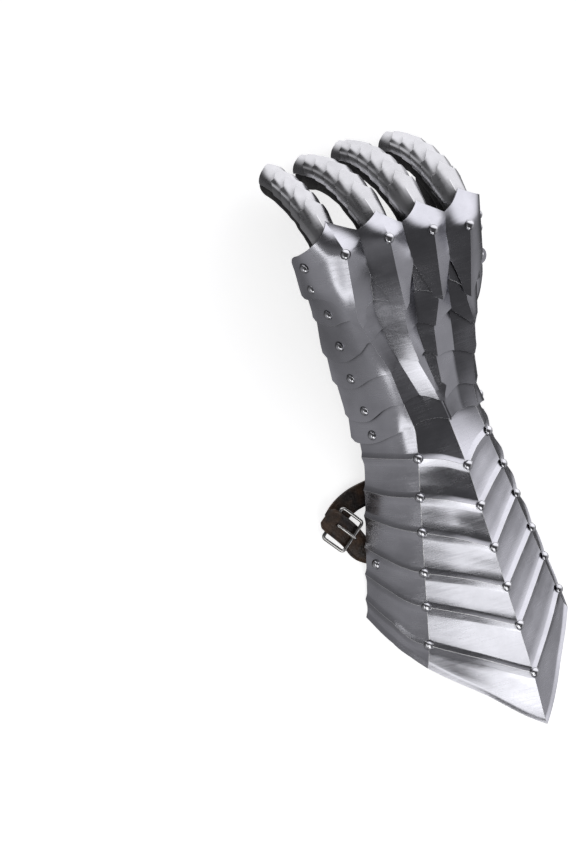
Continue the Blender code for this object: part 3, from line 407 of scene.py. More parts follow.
def steel_material(name, colour, rough, stretch, streak, bump, reach=0.0035, open_at=0.86):
    """Brushed and polished steel: fine streaks across the plate, soft cloudy wear in its shine, and painted shade: its
    colour darkened in creases, seams and under overlapping parts.
    """
    m, b = principled(name, colour, rough, 1.0)
    t = m.node_tree
    link = t.links.new
    coord = node_of(m, "ShaderNodeTexCoord")
    mapping = node_of(m, "ShaderNodeMapping")
    mapping.inputs["Scale"].default_value = stretch
    link(coord.outputs["Object"], mapping.inputs["Vector"])
    fine = node_of(m, "ShaderNodeTexNoise")
    fine.inputs["Scale"].default_value = 1.0
    fine.inputs["Detail"].default_value = 4.0
    link(mapping.outputs["Vector"], fine.inputs["Vector"])
    cloud = node_of(m, "ShaderNodeTexNoise")
    cloud.inputs["Scale"].default_value = 42.0
    cloud.inputs["Detail"].default_value = 5.0
    cloud.inputs["Roughness"].default_value = 0.62
    link(coord.outputs["Object"], cloud.inputs["Vector"])
    mix = node_of(m, "ShaderNodeMix", data_type="FLOAT")
    mix.inputs["Factor"].default_value = 0.5
    link(fine.outputs["Fac"], mix.inputs[2])
    link(cloud.outputs["Fac"], mix.inputs[3])
    ramp = node_of(m, "ShaderNodeMapRange")
    ramp.inputs["From Min"].default_value = 0.33
    ramp.inputs["From Max"].default_value = 0.67
    ramp.inputs["To Min"].default_value = rough - streak
    ramp.inputs["To Max"].default_value = rough + streak
    link(mix.outputs[0], ramp.inputs["Value"])
    link(ramp.outputs["Result"], b.inputs["Roughness"])
    tone = node_of(m, "ShaderNodeValToRGB")
    tone.color_ramp.elements[0].position = 0.3
    tone.color_ramp.elements[1].position = 0.72
    tone.color_ramp.elements[0].color = (*[c * 0.86 for c in colour], 1)
    tone.color_ramp.elements[1].color = (*[min(c * 1.08, 1) for c in colour], 1)
    link(cloud.outputs["Fac"], tone.inputs["Fac"])
    # painted shade: ambient occlusion darkens the base colour in creases, seams and under overlapping plates and scales
    near = node_of(m, "ShaderNodeAmbientOcclusion")
    near.samples = 6
    near.inputs["Distance"].default_value = reach
    painted_crevice_shade = node_of(m, "ShaderNodeMapRange")
    painted_crevice_shade.inputs["From Min"].default_value = 0.42
    painted_crevice_shade.inputs["From Max"].default_value = open_at
    painted_crevice_shade.inputs["To Min"].default_value = 0.10
    painted_crevice_shade.inputs["To Max"].default_value = 1.0
    link(near.outputs["AO"], painted_crevice_shade.inputs["Value"])
    shade_darkened_colour = node_of(m, "ShaderNodeVectorMath", operation="SCALE")
    link(tone.outputs["Color"], shade_darkened_colour.inputs[0])
    link(painted_crevice_shade.outputs["Result"], shade_darkened_colour.inputs["Scale"])
    link(shade_darkened_colour.outputs["Vector"], b.inputs["Base Color"])
    bumps = node_of(m, "ShaderNodeBump")
    bumps.inputs["Strength"].default_value = bump
    bumps.inputs["Distance"].default_value = 0.0002
    link(fine.outputs["Fac"], bumps.inputs["Height"])
    link(bumps.outputs["Normal"], b.inputs["Normal"])
    return m


def leather_material(name, dark, worn, rough, grain, wear=0.68):
    """Grained leather: pebbled bump, duller folds and a rubbed lighter tone."""
    m, b = principled(name, dark, rough, 0.0)
    t = m.node_tree
    link = t.links.new
    coord = node_of(m, "ShaderNodeTexCoord")
    cells = node_of(m, "ShaderNodeTexVoronoi", feature="F1")
    cells.inputs["Scale"].default_value = grain
    link(coord.outputs["Object"], cells.inputs["Vector"])
    folds = node_of(m, "ShaderNodeTexNoise")
    folds.inputs["Scale"].default_value = 95.0
    folds.inputs["Detail"].default_value = 6.0
    link(coord.outputs["Object"], folds.inputs["Vector"])
    tone = node_of(m, "ShaderNodeValToRGB")
    tone.color_ramp.elements[0].position = wear - 0.2
    tone.color_ramp.elements[1].position = wear + 0.12
    tone.color_ramp.elements[0].color = (*dark, 1)
    tone.color_ramp.elements[1].color = (*worn, 1)
    link(folds.outputs["Fac"], tone.inputs["Fac"])
    link(tone.outputs["Color"], b.inputs["Base Color"])
    shine = node_of(m, "ShaderNodeMapRange")
    shine.inputs["From Min"].default_value = 0.3
    shine.inputs["From Max"].default_value = 0.7
    shine.inputs["To Min"].default_value = rough - 0.12
    shine.inputs["To Max"].default_value = rough + 0.14
    link(folds.outputs["Fac"], shine.inputs["Value"])
    link(shine.outputs["Result"], b.inputs["Roughness"])
    both = node_of(m, "ShaderNodeMath", operation="ADD")
    link(cells.outputs["Distance"], both.inputs[0])
    link(folds.outputs["Fac"], both.inputs[1])
    bumps = node_of(m, "ShaderNodeBump")
    bumps.inputs["Strength"].default_value = 0.55
    bumps.inputs["Distance"].default_value = 0.0006
    link(both.outputs["Value"], bumps.inputs["Height"])
    link(bumps.outputs["Normal"], b.inputs["Normal"])
    return m


STEEL = (0.60, 0.60, 0.645)
plate_look = steel_material("polished_plate", STEEL, 0.24, (60, 900, 60), 0.07, 0.10)
# the scales take a wider, darker painted shade, for dark lines under the edges of overlapping leaves
scale_look = steel_material("brushed_scale", (0.60, 0.60, 0.615), 0.30, (160, 1100, 500), 0.07, 0.10, reach=0.006, open_at=0.97)
rivet_look = steel_material("polished_rivet", (0.68, 0.68, 0.71), 0.14, (200, 200, 200), 0.03, 0.02)
# painted highlight: a much paler steel for the bevel faces, so every crease and rim shows a bright line
edge_highlight_look = steel_material("painted_highlight_edge", (0.93, 0.93, 0.95), 0.42, (200, 200, 200), 0.04, 0.0, reach=0.0012, open_at=0.6)
nickel_look = steel_material("buckle_nickel", (0.66, 0.65, 0.63), 0.2, (200, 200, 200), 0.05, 0.03)
glove_look = leather_material("glove_leather", (0.012, 0.0115, 0.012), (0.035, 0.033, 0.033), 0.46, 900)
strap_look = leather_material("strap_leather", (0.018, 0.013, 0.011), (0.11, 0.062, 0.035), 0.5, 700, wear=0.6)


def piece(name, mesh, look, slot, *nodes):
    """Puts a finished mesh in the scene at the standing gauntlet's place, riding its one body."""
    ob = bpy.data.objects.new(name, mesh)
    looks.objects.link(ob)
    mesh.materials.clear()
    mesh.materials.append(look)
    mesh.transform(STAND)
    bpy.context.view_layer.update()
    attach(ob, "root")
    if nodes:
        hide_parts(*nodes)
    return ob


def grid_mesh(name, grid, angle=24):
    """Open sheet through a rows x columns x 3 array in mm, outward normal to the left of its rows."""
    rows, cols = grid.shape[:2]
    verts = (grid.reshape(-1, 3) * MM).tolist()
    faces = [(r * cols + c, r * cols + c + 1, (r + 1) * cols + c + 1, (r + 1) * cols + c)
             for r in range(rows - 1) for c in range(cols - 1)]
    mesh = bpy.data.meshes.new(name)
    mesh.from_pydata(verts, [], faces)
    mesh.validate()
    mesh.shade_smooth()
    mesh.set_sharp_from_angle(angle=radians(angle))
    return mesh


def plate(name, grid, thick, look, *nodes, bevel=0.28, angle=24):
    ob = piece(name, grid_mesh(name, grid, angle), look, "plate_steel", *nodes)
    shell = ob.modifiers.new("thickness", "SOLIDIFY")
    shell.thickness = thick * MM
    shell.offset = -1
    shell.use_even_offset = True
    shell.use_quality_normals = True
    shell.thickness_clamp = 1.2
    edge = ob.modifiers.new("bevelled_edges", "BEVEL")
    edge.width = bevel * MM
    edge.segments = 2
    edge.limit_method = "ANGLE"
    edge.angle_limit = radians(angle)
    edge.use_clamp_overlap = True
    edge.harden_normals = True
    edge.miter_outer = "MITER_ARC"
    # the bevel faces take the pale edge steel: a painted highlight along the creases and rims
    ob.data.materials.append(edge_highlight_look)
    edge.material = 1
    return ob


def domes(name, spots, radius, height, look, slot, *nodes, flange=0.0):
    """Rivet heads: a spot is (point, outward normal)."""
    bm = bmesh.new()
    rings = 9 if FINE else 5
    around = 28 if FINE else 14
    for point, normal in spots:
        turn = Vector(normal).normalized().to_track_quat("Z", "X").to_matrix()
        last = None
        profile = []
        if flange:
            profile += [(radius + flange, -0.3), (radius + flange, 0.16), (radius + flange * 0.3, 0.3)]
        profile += [(radius * cos(a), height * sin(a)) for a in [pi / 2 * k / rings for k in range(rings)]]
        profile = [(radius, -0.7)] + profile if not flange else profile
        for rr, h in profile:
            ring = [bm.verts.new((Vector(point) + turn @ Vector((rr * cos(2 * pi * i / around), rr * sin(2 * pi * i / around), h))) * MM) for i in range(around)]
            if last:
                for i in range(around):
                    bm.faces.new((last[i], last[(i + 1) % around], ring[(i + 1) % around], ring[i]))
            last = ring
        top = bm.verts.new((Vector(point) + turn @ Vector((0, 0, height))) * MM)
        for i in range(around):
            bm.faces.new((last[i], last[(i + 1) % around], top))
    mesh = bpy.data.meshes.new(name)
    bm.to_mesh(mesh)
    bm.free()
    mesh.shade_smooth()
    mesh.set_sharp_from_angle(angle=radians(50))
    return piece(name, mesh, look, slot, *nodes)


# ------------------------------------------------------------------ fine sections between the tables' lines
def line_at(table, name, y, soft):
    """x and z of one lengthwise line at an array of y, its corners eased over a distance."""
    rows = sorted(table[name])
    ys = [r[0] for r in rows]
    xs = [r[1] for r in rows]
    zs = [r[2] for r in rows]
    for values in (xs, zs):
        values.insert(0, values[0] + (values[0] - values[1]) * 12 / (ys[1] - ys[0]))
        values.append(values[-1] + (values[-1] - values[-2]) * 6 / (ys[-1] - ys[-2]))
    ys = [ys[0] - 12] + ys + [ys[-1] + 6]
    out = np.zeros((2, len(y)))
    for shift, share in ((-1, 0.12), (-0.5, 0.22), (0, 0.32), (0.5, 0.22), (1, 0.12)):
        out += share * np.array([np.interp(y + shift * soft, ys, xs), np.interp(y + shift * soft, ys, zs)])
    return out


def across(table, names, creases, u, y, soft):
    """Section point at a place u between the lines: straight facets between creases, curves elsewhere."""
    k = max(0, min(int(np.floor(u + 1e-9)), len(names) - 2))
    t = u - k
    p = [line_at(table, names[max(0, min(j, len(names) - 1))], y, soft) for j in (k - 1, k, k + 1, k + 2)]
    chord = p[2] - p[1]
    span = np.sqrt((chord ** 2).sum(0)) + 1e-9
    m1 = m2 = chord
    if k > 0 and names[k] not in creases:
        before = np.sqrt(((p[1] - p[0]) ** 2).sum(0)) + 1e-9
        m1 = (p[2] - p[0]) / (before + span) * span
    if k + 2 < len(names) and names[k + 1] not in creases:
        after = np.sqrt(((p[3] - p[2]) ** 2).sum(0)) + 1e-9
        m2 = (p[3] - p[1]) / (after + span) * span
    t2, t3 = t * t, t * t * t
    return (2 * t3 - 3 * t2 + 1) * p[1] + (t3 - 2 * t2 + t) * m1 + (-2 * t3 + 3 * t2) * p[2] + (t3 - t2) * m2


def lifted(table, names, creases, u, y, lift, soft=0.0):
    """Column of points at place u for arrays of y and lift, lifted square to the section."""
    mid = across(table, names, creases, u, y, soft)
    low = across(table, names, creases, max(u - 0.03, 0.0), y, soft)
    high = across(table, names, creases, min(u + 0.03, len(names) - 1.0), y, soft)
    normals = []
    for a, b in ((low, mid), (mid, high)):
        d = b - a
        n = np.sqrt((d ** 2).sum(0))
        normals.append(np.where(n > 1e-6, np.array([-d[1], d[0]]) / np.maximum(n, 1e-6), 0))
    a, b = normals
    if u <= 0:
        a = b
    if u >= len(names) - 1:
        b = a
    m = (a + b) / np.maximum(1 + (a * b).sum(0), 0.75)
    return np.stack([mid[0] + m[0] * lift, y, mid[1] + m[1] * lift], 1)


def graded(values, creases, names, u):
    """A value given on each line, read at u: smooth except at creases."""
    k = max(0, min(int(np.floor(u + 1e-9)), len(values) - 2))
    t = u - k
    v = [values[max(0, min(j, len(values) - 1))] for j in (k - 1, k, k + 1, k + 2)]
    m1 = v[2] - v[1] if k == 0 or names[k] in creases else 0.5 * (v[2] - v[0])
    m2 = v[2] - v[1] if k + 2 >= len(values) or names[k + 1] in creases else 0.5 * (v[3] - v[1])
    t2, t3 = t * t, t * t * t
    return (2 * t3 - 3 * t2 + 1) * v[1] + (t3 - 2 * t2 + t) * m1 + (-2 * t3 + 3 * t2) * v[2] + (t3 - t2) * m2

# ------------------------------------------------------------------ cuff
CUFF_CREASES = ("L", "M", "R")


def flute_profile(t):
    """Height of a flute at t from -1 to 1 across it: a crisp crest with hollow flanks."""
    a = min(abs(t), 1.0)
    return (1 - a) ** 1.25


def cuff_grid():
    per = 7 if FINE else 3
    us = [k + j / per for k in range(len(CUFF_LINE) - 1) for j in range(per)] + [len(CUFF_LINE) - 1.0]
    keys = [key(n) for n in CUFF_LINE]
    fl = [[FLUTES[kk][i] for kk in keys] for i in range(6)]
    start = [CUFF_START[kk] for kk in keys]
    end = [CUFF_END[kk] for kk in keys]
    cols = []
    flank = [-1.0, -0.82, -0.62, -0.42, -0.24, -0.1, 0.0, 0.1, 0.24, 0.42, 0.62, 0.82, 1.0] if FINE else [-1.0, -0.5, 0.0, 0.5, 1.0]
    for u in us:
        y, lift = [], []
        s0 = graded(start, CUFF_CREASES, CUFF_LINE, u)
        centres = [graded(row, CUFF_CREASES, CUFF_LINE, u) for row in fl]
        e0 = graded(end, CUFF_CREASES, CUFF_LINE, u)
        # the point's tip is a little rounded
        near = abs(u - 5.0)
        if near < 0.5:
            e0 = e0 + 2.2 * (1 - near / 0.5) ** 2
        plan = [(s0, -1.1), (s0 - 3.5, -0.7), (s0 - 7, -0.3)]
        for i, c in enumerate(centres):
            plan += [(c - t * FLUTE_W * (1.35 if t > 0 else 0.8), 0.1 + (FLUTE_H - 0.1) * flute_profile(t)) for t in flank]
            below = centres[i + 1] if i < 5 else e0
            gap_from, gap_to = c - 1.35 * FLUTE_W, (below + 0.8 * FLUTE_W if i < 5 else below)
            if i < 5:
                plan += [(gap_from + (gap_to - gap_from) * f, 0.1) for f in (0.33, 0.67)]
            else:
                # the elbow edge turns up in a narrow band
                rim = [(gap_to + 4.2, 0.1), (gap_to + 3.6, 0.16), (gap_to + 2.4, 0.55), (gap_to + 1.2, 1.0), (gap_to, 1.35)]
                plan += [(gap_from + (gap_to + 4.2 - gap_from) * f, 0.1) for f in (0.25, 0.5, 0.75)] + rim
        plan = plan[::-1]
        cols.append(lifted(CUFF, CUFF_LINE, CUFF_CREASES, u, np.array([p[0] for p in plan]), np.array([p[1] for p in plan]), soft=7.0))
    return np.stack(cols, 1)


plate("cuff_plate", cuff_grid(), SHEET, plate_look, "cuff", bevel=0.35, angle=20)
spots = []
for name, side in (("L", -1), ("R", 1), ("M", 0)):
    for y in FLUTES[key(name)]:
        p = cuff_point(name, y, FLUTE_H)
        normal = Vector((side * 0.8, 0.0, 1.0)) if side else Vector((0, 0.12, 1))
        spots.append((p - normal.normalized() * 0.35, normal))
for side, line in ((-1, "EL"), (1, "ER")):
    low, up = cuff_point(line, -117, 0.1), cuff_point("B" + line[1], -117, 0.1)
    spots.append((low.lerp(up, 0.42), Vector((side * 0.93, 0, 0.3))))
domes("cuff_rivets", spots, RIVET_R, RIVET_H, rivet_look, "plate_steel", flange=0.35)

# ------------------------------------------------------------------ lames
HAND_CREASES = ("R1", "V1", "R2", "V2", "R3", "V3", "R4")
HAND_U = LINE


def hand_us(per):
    return [k + j / per for k in range(len(LINE) - 1) for j in range(per)] + [len(LINE) - 1.0]


def scalloped(values, u, bow):
    """Edge between the lines, drawn in a little towards the fingers between its points."""
    k = min(int(u + 1e-9), len(LINE) - 2)
    t = u - k
    y = graded(values, HAND_CREASES, LINE, u)
    if 3 <= k <= 8:
        y += bow * 4 * t * (1 - t)
    return y


def tab_round(u, reach, amount):
    """Rounded corner of a plate's flange tab, as a rise of its free edge."""
    last = len(LINE) - 1.0
    d = min(u, last - u)
    if d >= reach:
        return 0.0
    f = 1 - d / reach
    return amount * (1 - sqrt(max(0.0, 1 - f * f)))


per = 8 if FINE else 3
for above, name in zip(PLATES, PLATES[1:]):
    free_v = [EDGES[name][n] for n in LINE]
    hide_v = [EDGES[above][n] + (26 if above == "knuckle" and n in ("R1", "R2", "R3", "R4") else TUCK) for n in LINE]
    cols = []
    for u in hand_us(per):
        free = scalloped(free_v, u, 0.9) + tab_round(u, 0.42, 4.0)
        hidden = graded(hide_v, HAND_CREASES, LINE, u)
        v = np.array([0.0, 0.06, 0.2, 0.4, 0.6, 0.8, 1.0])
        cols.append(lifted(HAND, LINE, HAND_CREASES, u, free + v * (hidden - free), LIFT * (1 - v), soft=2.0))
    plate(name + "_plate", np.stack(cols, 1), SHEET, plate_look, name, bevel=0.42, angle=22)
    left, right = LAME_RIVET[name]
    heads = [hand_spot(0.95, left, LIFT * 0.72), hand_spot(11.05, right, LIFT * 0.72)]
    domes(name + "_rivets", [(p, n) for p, n, d in heads], RIVET_R, RIVET_H, rivet_look, "plate_steel", flange=0.3)

# ------------------------------------------------------------------ knuckle plate
free_v = [EDGES["knuckle"][n] for n in LINE]
knee_v = [KNEE[n] for n in LINE]
front_v = [FRONT[n] for n in LINE]
high_v = [SPIKE_LIFT if n in ("R1", "R2", "R3", "R4") else 3.6 for n in LINE]
cols = []
for u in hand_us(per + 2 if FINE else per):
    free = scalloped(free_v, u, 0.6) + tab_round(u, 0.42, 4.0)
    knee = graded(knee_v, HAND_CREASES, LINE, u)
    front = scalloped(front_v, u, -0.6) - tab_round(u, 0.4, 3.0)
    high = graded(high_v, HAND_CREASES, LINE, u)
    v = np.array([0.0, 0.04, 0.12, 0.25, 0.4, 0.55, 0.7, 0.84, 0.94, 1.0])
    w = np.array([0.08, 0.2, 0.4, 0.6, 0.8, 0.93, 1.0])
    y = np.concatenate([free + v * (knee - free), knee + w * (front - knee)])
    lift = np.concatenate([high + (1.6 - high) * v, np.full(len(w), 1.6)])
    cols.append(lifted(HAND, LINE, HAND_CREASES, u, y, lift, soft=2.4))
plate("knuckle_plate_skin", np.stack(cols, 1), SHEET, plate_look, "knuckle_plate", bevel=0.42, angle=22)
spots = []
for name, y in (("R1", 97.0), ("R2", 99.0), ("R3", 94.7), ("R4", 88.0)):
    p = hand_point(name, y, 1.6)
    spots.append((p - Vector((0, 0, 0.75)), Vector((0, 0.05, 1))))
for u, y, lift in ((0.85, 90.5, 1.9), (0.8, 76.5, 2.3), (11.0, 86.0, 1.9), (11.0, 78.0, 2.2)):
    p, n, depth = hand_spot(u, y, lift)
    spots.append((p, n))
domes("knuckle_rivets", spots, RIVET_R, RIVET_H, rivet_look, "plate_steel", flange=0.35)

# ------------------------------------------------------------------ finger and thumb scales
def roof(w, table=ROOF):
    """Section of a scale at w from -1 to 1 across it, for a finger of radius 1: a low ridge and rolled sides."""
    k = (w + 1) * 3
    i = max(0, min(int(k), 5))
    t = k - i
    pts = [np.array(p) for p in table]
    p0, p1, p2, p3 = pts[max(i - 1, 0)], pts[i], pts[i + 1], pts[min(i + 2, 6)]
    m1 = p2 - p1 if i in (0, 3) else 0.5 * (p2 - p0)
    m2 = p2 - p1 if i in (2, 5) else 0.5 * (p3 - p1)
    t2, t3 = t * t, t * t * t
    return (2 * t3 - 3 * t2 + 1) * p1 + (t3 - 2 * t2 + t) * m1 + (-2 * t3 + 3 * t2) * p2 + (t3 - t2) * m2


def sweep_at(w, widest, power):
    """How far the edge falls behind the point: a drawn-out point, a full shoulder, then the side."""
    a = abs(w)
    side_point = 2.4 * max(0.0, 1 - abs(a - 0.44) / 0.14) if FINE and widest > 5 else 0.0
    return widest * (0.80 * a ** (power * 0.72) + 0.20 * a ** 3) - side_point


def scale_grid(path, radius, hidden_at, tip, widest, power, lift_at, across_n, along_n, table=ROOF, proud=2.3):
    ws = [-1 + 2 * k / across_n for k in range(across_n + 1)]
    section = [roof(w, table) for w in ws]
    cols = []
    for j, w in enumerate(ws):
        free = tip - sweep_at(w, widest, power)
        hidden = hidden_at(w)
        col = []
        for i in range(along_n + 1):
            v = i / along_n
            v = 1 - (1 - v) ** 1.3
            s = hidden + v * (free - hidden)
            s0, origin, side, up, fwd = at(path, s)
            r = radius(s) + 0.3
            a, b = section[j] * r
            prev, nxt = section[max(j - 1, 0)], section[min(j + 1, across_n)]
            d = nxt - prev
            n = sqrt(d[0] ** 2 + d[1] ** 2)
            lift = lift_at(v) + proud * max(0.0, v - 0.35) ** 2 / 0.42 * (1 - abs(w)) ** 1.6
            col.append(origin + side * (a - d[1] / n * lift) + up * (b + d[0] / n * lift))
        cols.append(col)
    return np.array([[tuple(cols[j][i]) for j in range(across_n + 1)] for i in range(along_n + 1)])


ACROSS, ALONG = (30, 11) if FINE else (12, 4)
paths = {}
for finger, f in FINGERS.items():
    path = finger_path(f)
    total = path[-1][0]
    paths[finger] = (path, total)
    n = f["scales"]
    first, last = 15.5, total - 6.5
    tips = [first + (last - first) * (k / n) for k in range(n + 1)]
    for k, tip in enumerate(tips):
        node = f"{finger}_scale_{k + 1}" if k < n else f"{finger}_tip"
        widest, power = (11.0, 0.66) if k < n else (3.5, 0.8)
        if k == 0:
            hidden_at = lambda w: -9.0 + 11.0 * abs(w) ** 0.66 * 0.25
        else:
            hidden_at = lambda w, k=k: tips[k - 1] - 11.0 * abs(w) ** 0.66 - SCALE_TUCK
        grid = scale_grid(path, lambda s: radius_at(f, s, total), hidden_at, tip, widest, power,
                          lambda v: SCALE_LIFT * v + 0.4, ACROSS, ALONG)
        plate(node + "_skin", grid, SCALE_SHEET, scale_look, node, bevel=0.36, angle=26)

tpath, tradii = thumb_path()
t_total = tpath[-1][0]


def dome_section(s):
    rows = [tuple(r) for r in DOME]
    ss = [r[0] for r in rows]
    vals = []
    for c in range(1, 5):
        ys = [r[c] for r in rows]
        total_v = 0
        for shift, share in ((-2.5, 0.25), (0, 0.5), (2.5, 0.25)):
            total_v += share * np.interp(s + shift, ss, ys)
        vals.append(total_v)
    return vals


ws = [-1 + 2 * k / ACROSS for k in range(ACROSS + 1)]
rows = []
dome_n = 26 if FINE else 8
for i in range(dome_n + 1):
    s = DOME[0][0] + (DOME[-1][0] - DOME[0][0]) * (i / dome_n)
    w0, crown, drop, shift = dome_section(s)
    if i == 0:
        w0, crown, drop, shift = DOME[0][1:]
    s0, origin, side, up, fwd = at(tpath, s)
    heights = [drop, drop + (crown - drop) * 0.48, drop + (crown - drop) * 0.86, crown, drop + (crown - drop) * 0.86, drop + (crown - drop) * 0.48, drop]
    widths = [-1, -0.86, -0.5, 0, 0.5, 0.86, 1]
    pts = [np.array((w0 * a, h)) for a, h in zip(widths, heights)]
    sec = []
    for w in ws:
        k = (w + 1) * 3
        j = max(0, min(int(k), 5))
        t = k - j
        p0, p1, p2, p3 = pts[max(j - 1, 0)], pts[j], pts[j + 1], pts[min(j + 2, 6)]
        m1 = p2 - p1 if j in (0, 3) else 0.5 * (p2 - p0)
        m2 = p2 - p1 if j in (2, 5) else 0.5 * (p3 - p1)
        t2, t3 = t * t, t * t * t
        sec.append((2 * t3 - 3 * t2 + 1) * p1 + (t3 - 2 * t2 + t) * m1 + (-2 * t3 + 3 * t2) * p2 + (t3 - t2) * m2)
    row = []
    for j, q in enumerate(sec):
        d = sec[min(j + 1, ACROSS)] - sec[max(j - 1, 0)]
        n = sqrt(d[0] ** 2 + d[1] ** 2) or 1e-6
        row.append(tuple(origin + side * (q[0] + shift - d[1] / n * 2.4) + up * (q[1] + d[0] / n * 2.4)))
    rows.append(row)
plate("thumb_dome_skin", np.array(rows), SCALE_SHEET + 0.2, plate_look, "thumb_dome", bevel=0.36, angle=26)
s0, o, sd, up, fw = at(tpath, 51)
domes("thumb_dome_rivet", [(o + up * 17.85, up)], 2.9, RIVET_H, rivet_look, "plate_steel", flange=0.3)

first, last = 70.0, t_total - 6.0
thumb_tips = [first + (last - first) * (k / 3) for k in range(4)]
for k, tip in enumerate(thumb_tips):
    node = f"thumb_scale_{k + 1}" if k < 3 else "thumb_tip"
    widest, power = (11.0, 0.66) if k < 3 else (3.5, 0.8)
    if k == 0:
        hidden_at = lambda w: 53.5
    else:
        hidden_at = lambda w, k=k: thumb_tips[k - 1] - 11.0 * abs(w) ** 0.66 - SCALE_TUCK
    grid = scale_grid(tpath, thumb_radius, hidden_at, tip, widest, power, lambda v: (SCALE_LIFT + 2.2) * v + 0.3, ACROSS, ALONG,
                      table=THUMB_ROOF, proud=0.8)
    plate(node + "_skin", grid, SCALE_SHEET, scale_look, node, bevel=0.36, angle=26)

# ------------------------------------------------------------------ glove
from mathutils import noise


def smooth_row(rows, y):
    """Row of the palm table at y, eased between its rows."""
    ys = [r[0] for r in rows]
    out = []
    for c in range(1, 5):
        vs = [r[c] for r in rows]
        out.append(sum(share * np.interp(y + shift, ys, vs) for shift, share in ((-7, 0.25), (0, 0.5), (7, 0.25))))
    return out


def add_loft(bm, rings, cap=True):
    last = None
    first = None
    n = len(rings[0])
    for ring in rings:
        verts = [bm.verts.new(Vector(p) * MM) for p in ring]
        if last:
            for i in range(n):
                bm.faces.new((last[i], verts[i], verts[(i + 1) % n], last[(i + 1) % n]))
        else:
            first = verts
        last = verts
    if cap:
        bm.faces.new(first)
        bm.faces.new(last[::-1])


def stall_rings(path, start, end, radius, sides):
    step = 2.5 if FINE else 6.0
    n = int((end - start - 6.0) / step)
    profile = [(start + (end - 6.0 - start) * k / n, 1.0) for k in range(n + 1)]
    profile += [(end - 3.6, 0.955), (end - 2.0, 0.87), (end - 0.8, 0.73), (end - 0.15, 0.58), (end, 0.42)]
    rings = []
    for s, k in profile:
        s0, o, side, up, fwd = at(path, s)
        r = radius(s) * k
        rings.append(ellipse_ring(o, side, up, r, r, sides))
    return rings


sides = 28 if FINE else 12
bm = bmesh.new()
rings = []
steps = 48 if FINE else 16
for k in range(steps + 1):
    y = PALM[0][0] + (PALM[-1][0] - PALM[0][0]) * k / steps
    left, right, top, low = smooth_row(PALM, y) if 0 < k < steps else PALM[0 if k == 0 else -1][1:]
    rings.append(ellipse_ring(Vector(((left + right) / 2, y, (top + low) / 2)), Vector((1, 0, 0)), Vector((0, 0, 1)),
                              (right - left) / 2, (top - low) / 2, sides * 2, power=2.5))
add_loft(bm, rings)
for finger, f in FINGERS.items():
    path, total = paths[finger]
    add_loft(bm, stall_rings(path, -23.0, total, lambda s: radius_at(f, s, total), sides))
add_loft(bm, stall_rings(tpath, -THUMB_ROOT, t_total, thumb_radius, sides))
bmesh.ops.recalc_face_normals(bm, faces=bm.faces)
base = bpy.data.meshes.new("glove_base")
bm.to_mesh(base)
bm.free()
tmp = bpy.data.objects.new("glove_base", base)
looks.objects.link(tmp)
mod = tmp.modifiers.new("skin", "REMESH")
mod.mode = "VOXEL"
mod.voxel_size = (1.5 if FINE else 3.0) * MM
mod.use_smooth_shade = True
ease = tmp.modifiers.new("ease", "SMOOTH")
ease.factor = 0.5
ease.iterations = 6 if FINE else 2
bpy.context.view_layer.update()
skin = bpy.data.meshes.new_from_object(tmp.evaluated_get(bpy.context.evaluated_depsgraph_get()))
bpy.data.objects.remove(tmp, do_unlink=True)
skin.name = "glove_skin"
count = len(skin.vertices)
co = np.empty(count * 3)
skin.vertices.foreach_get("co", co)
co = co.reshape(-1, 3)
no = np.empty(count * 3)
skin.vertex_normals.foreach_get("vector", no)
no = no.reshape(-1, 3)
for i in range(count):
    p = Vector(co[i]) / MM
    folds = noise.noise(p * 0.085) + 0.55 * noise.noise(p * 0.21 + Vector((7, 3, 5)))
    crease = max(0.0, noise.noise(Vector((p.x * 0.05, p.y * 0.16, p.z * 0.1)) + Vector((3, 9, 1))) - 0.1)
    co[i] += no[i] * (-0.25 - 0.28 * folds - 0.9 * crease) * MM
skin.vertices.foreach_set("co", co.reshape(-1))
bm = bmesh.new()
bm.from_mesh(skin)
# the sleeve is open at the wrist end
bmesh.ops.delete(bm, geom=[v for v in bm.verts if v.co.y < (PALM[0][0] + 1.6) * MM], context="VERTS")
bm.to_mesh(skin)
bm.free()
skin.shade_smooth()
glove_piece = piece("glove_skin", skin, glove_look, "glove_leather", "glove")
wall = glove_piece.modifiers.new("leather_wall", "SOLIDIFY")
wall.thickness = LEATHER * MM
wall.offset = -1


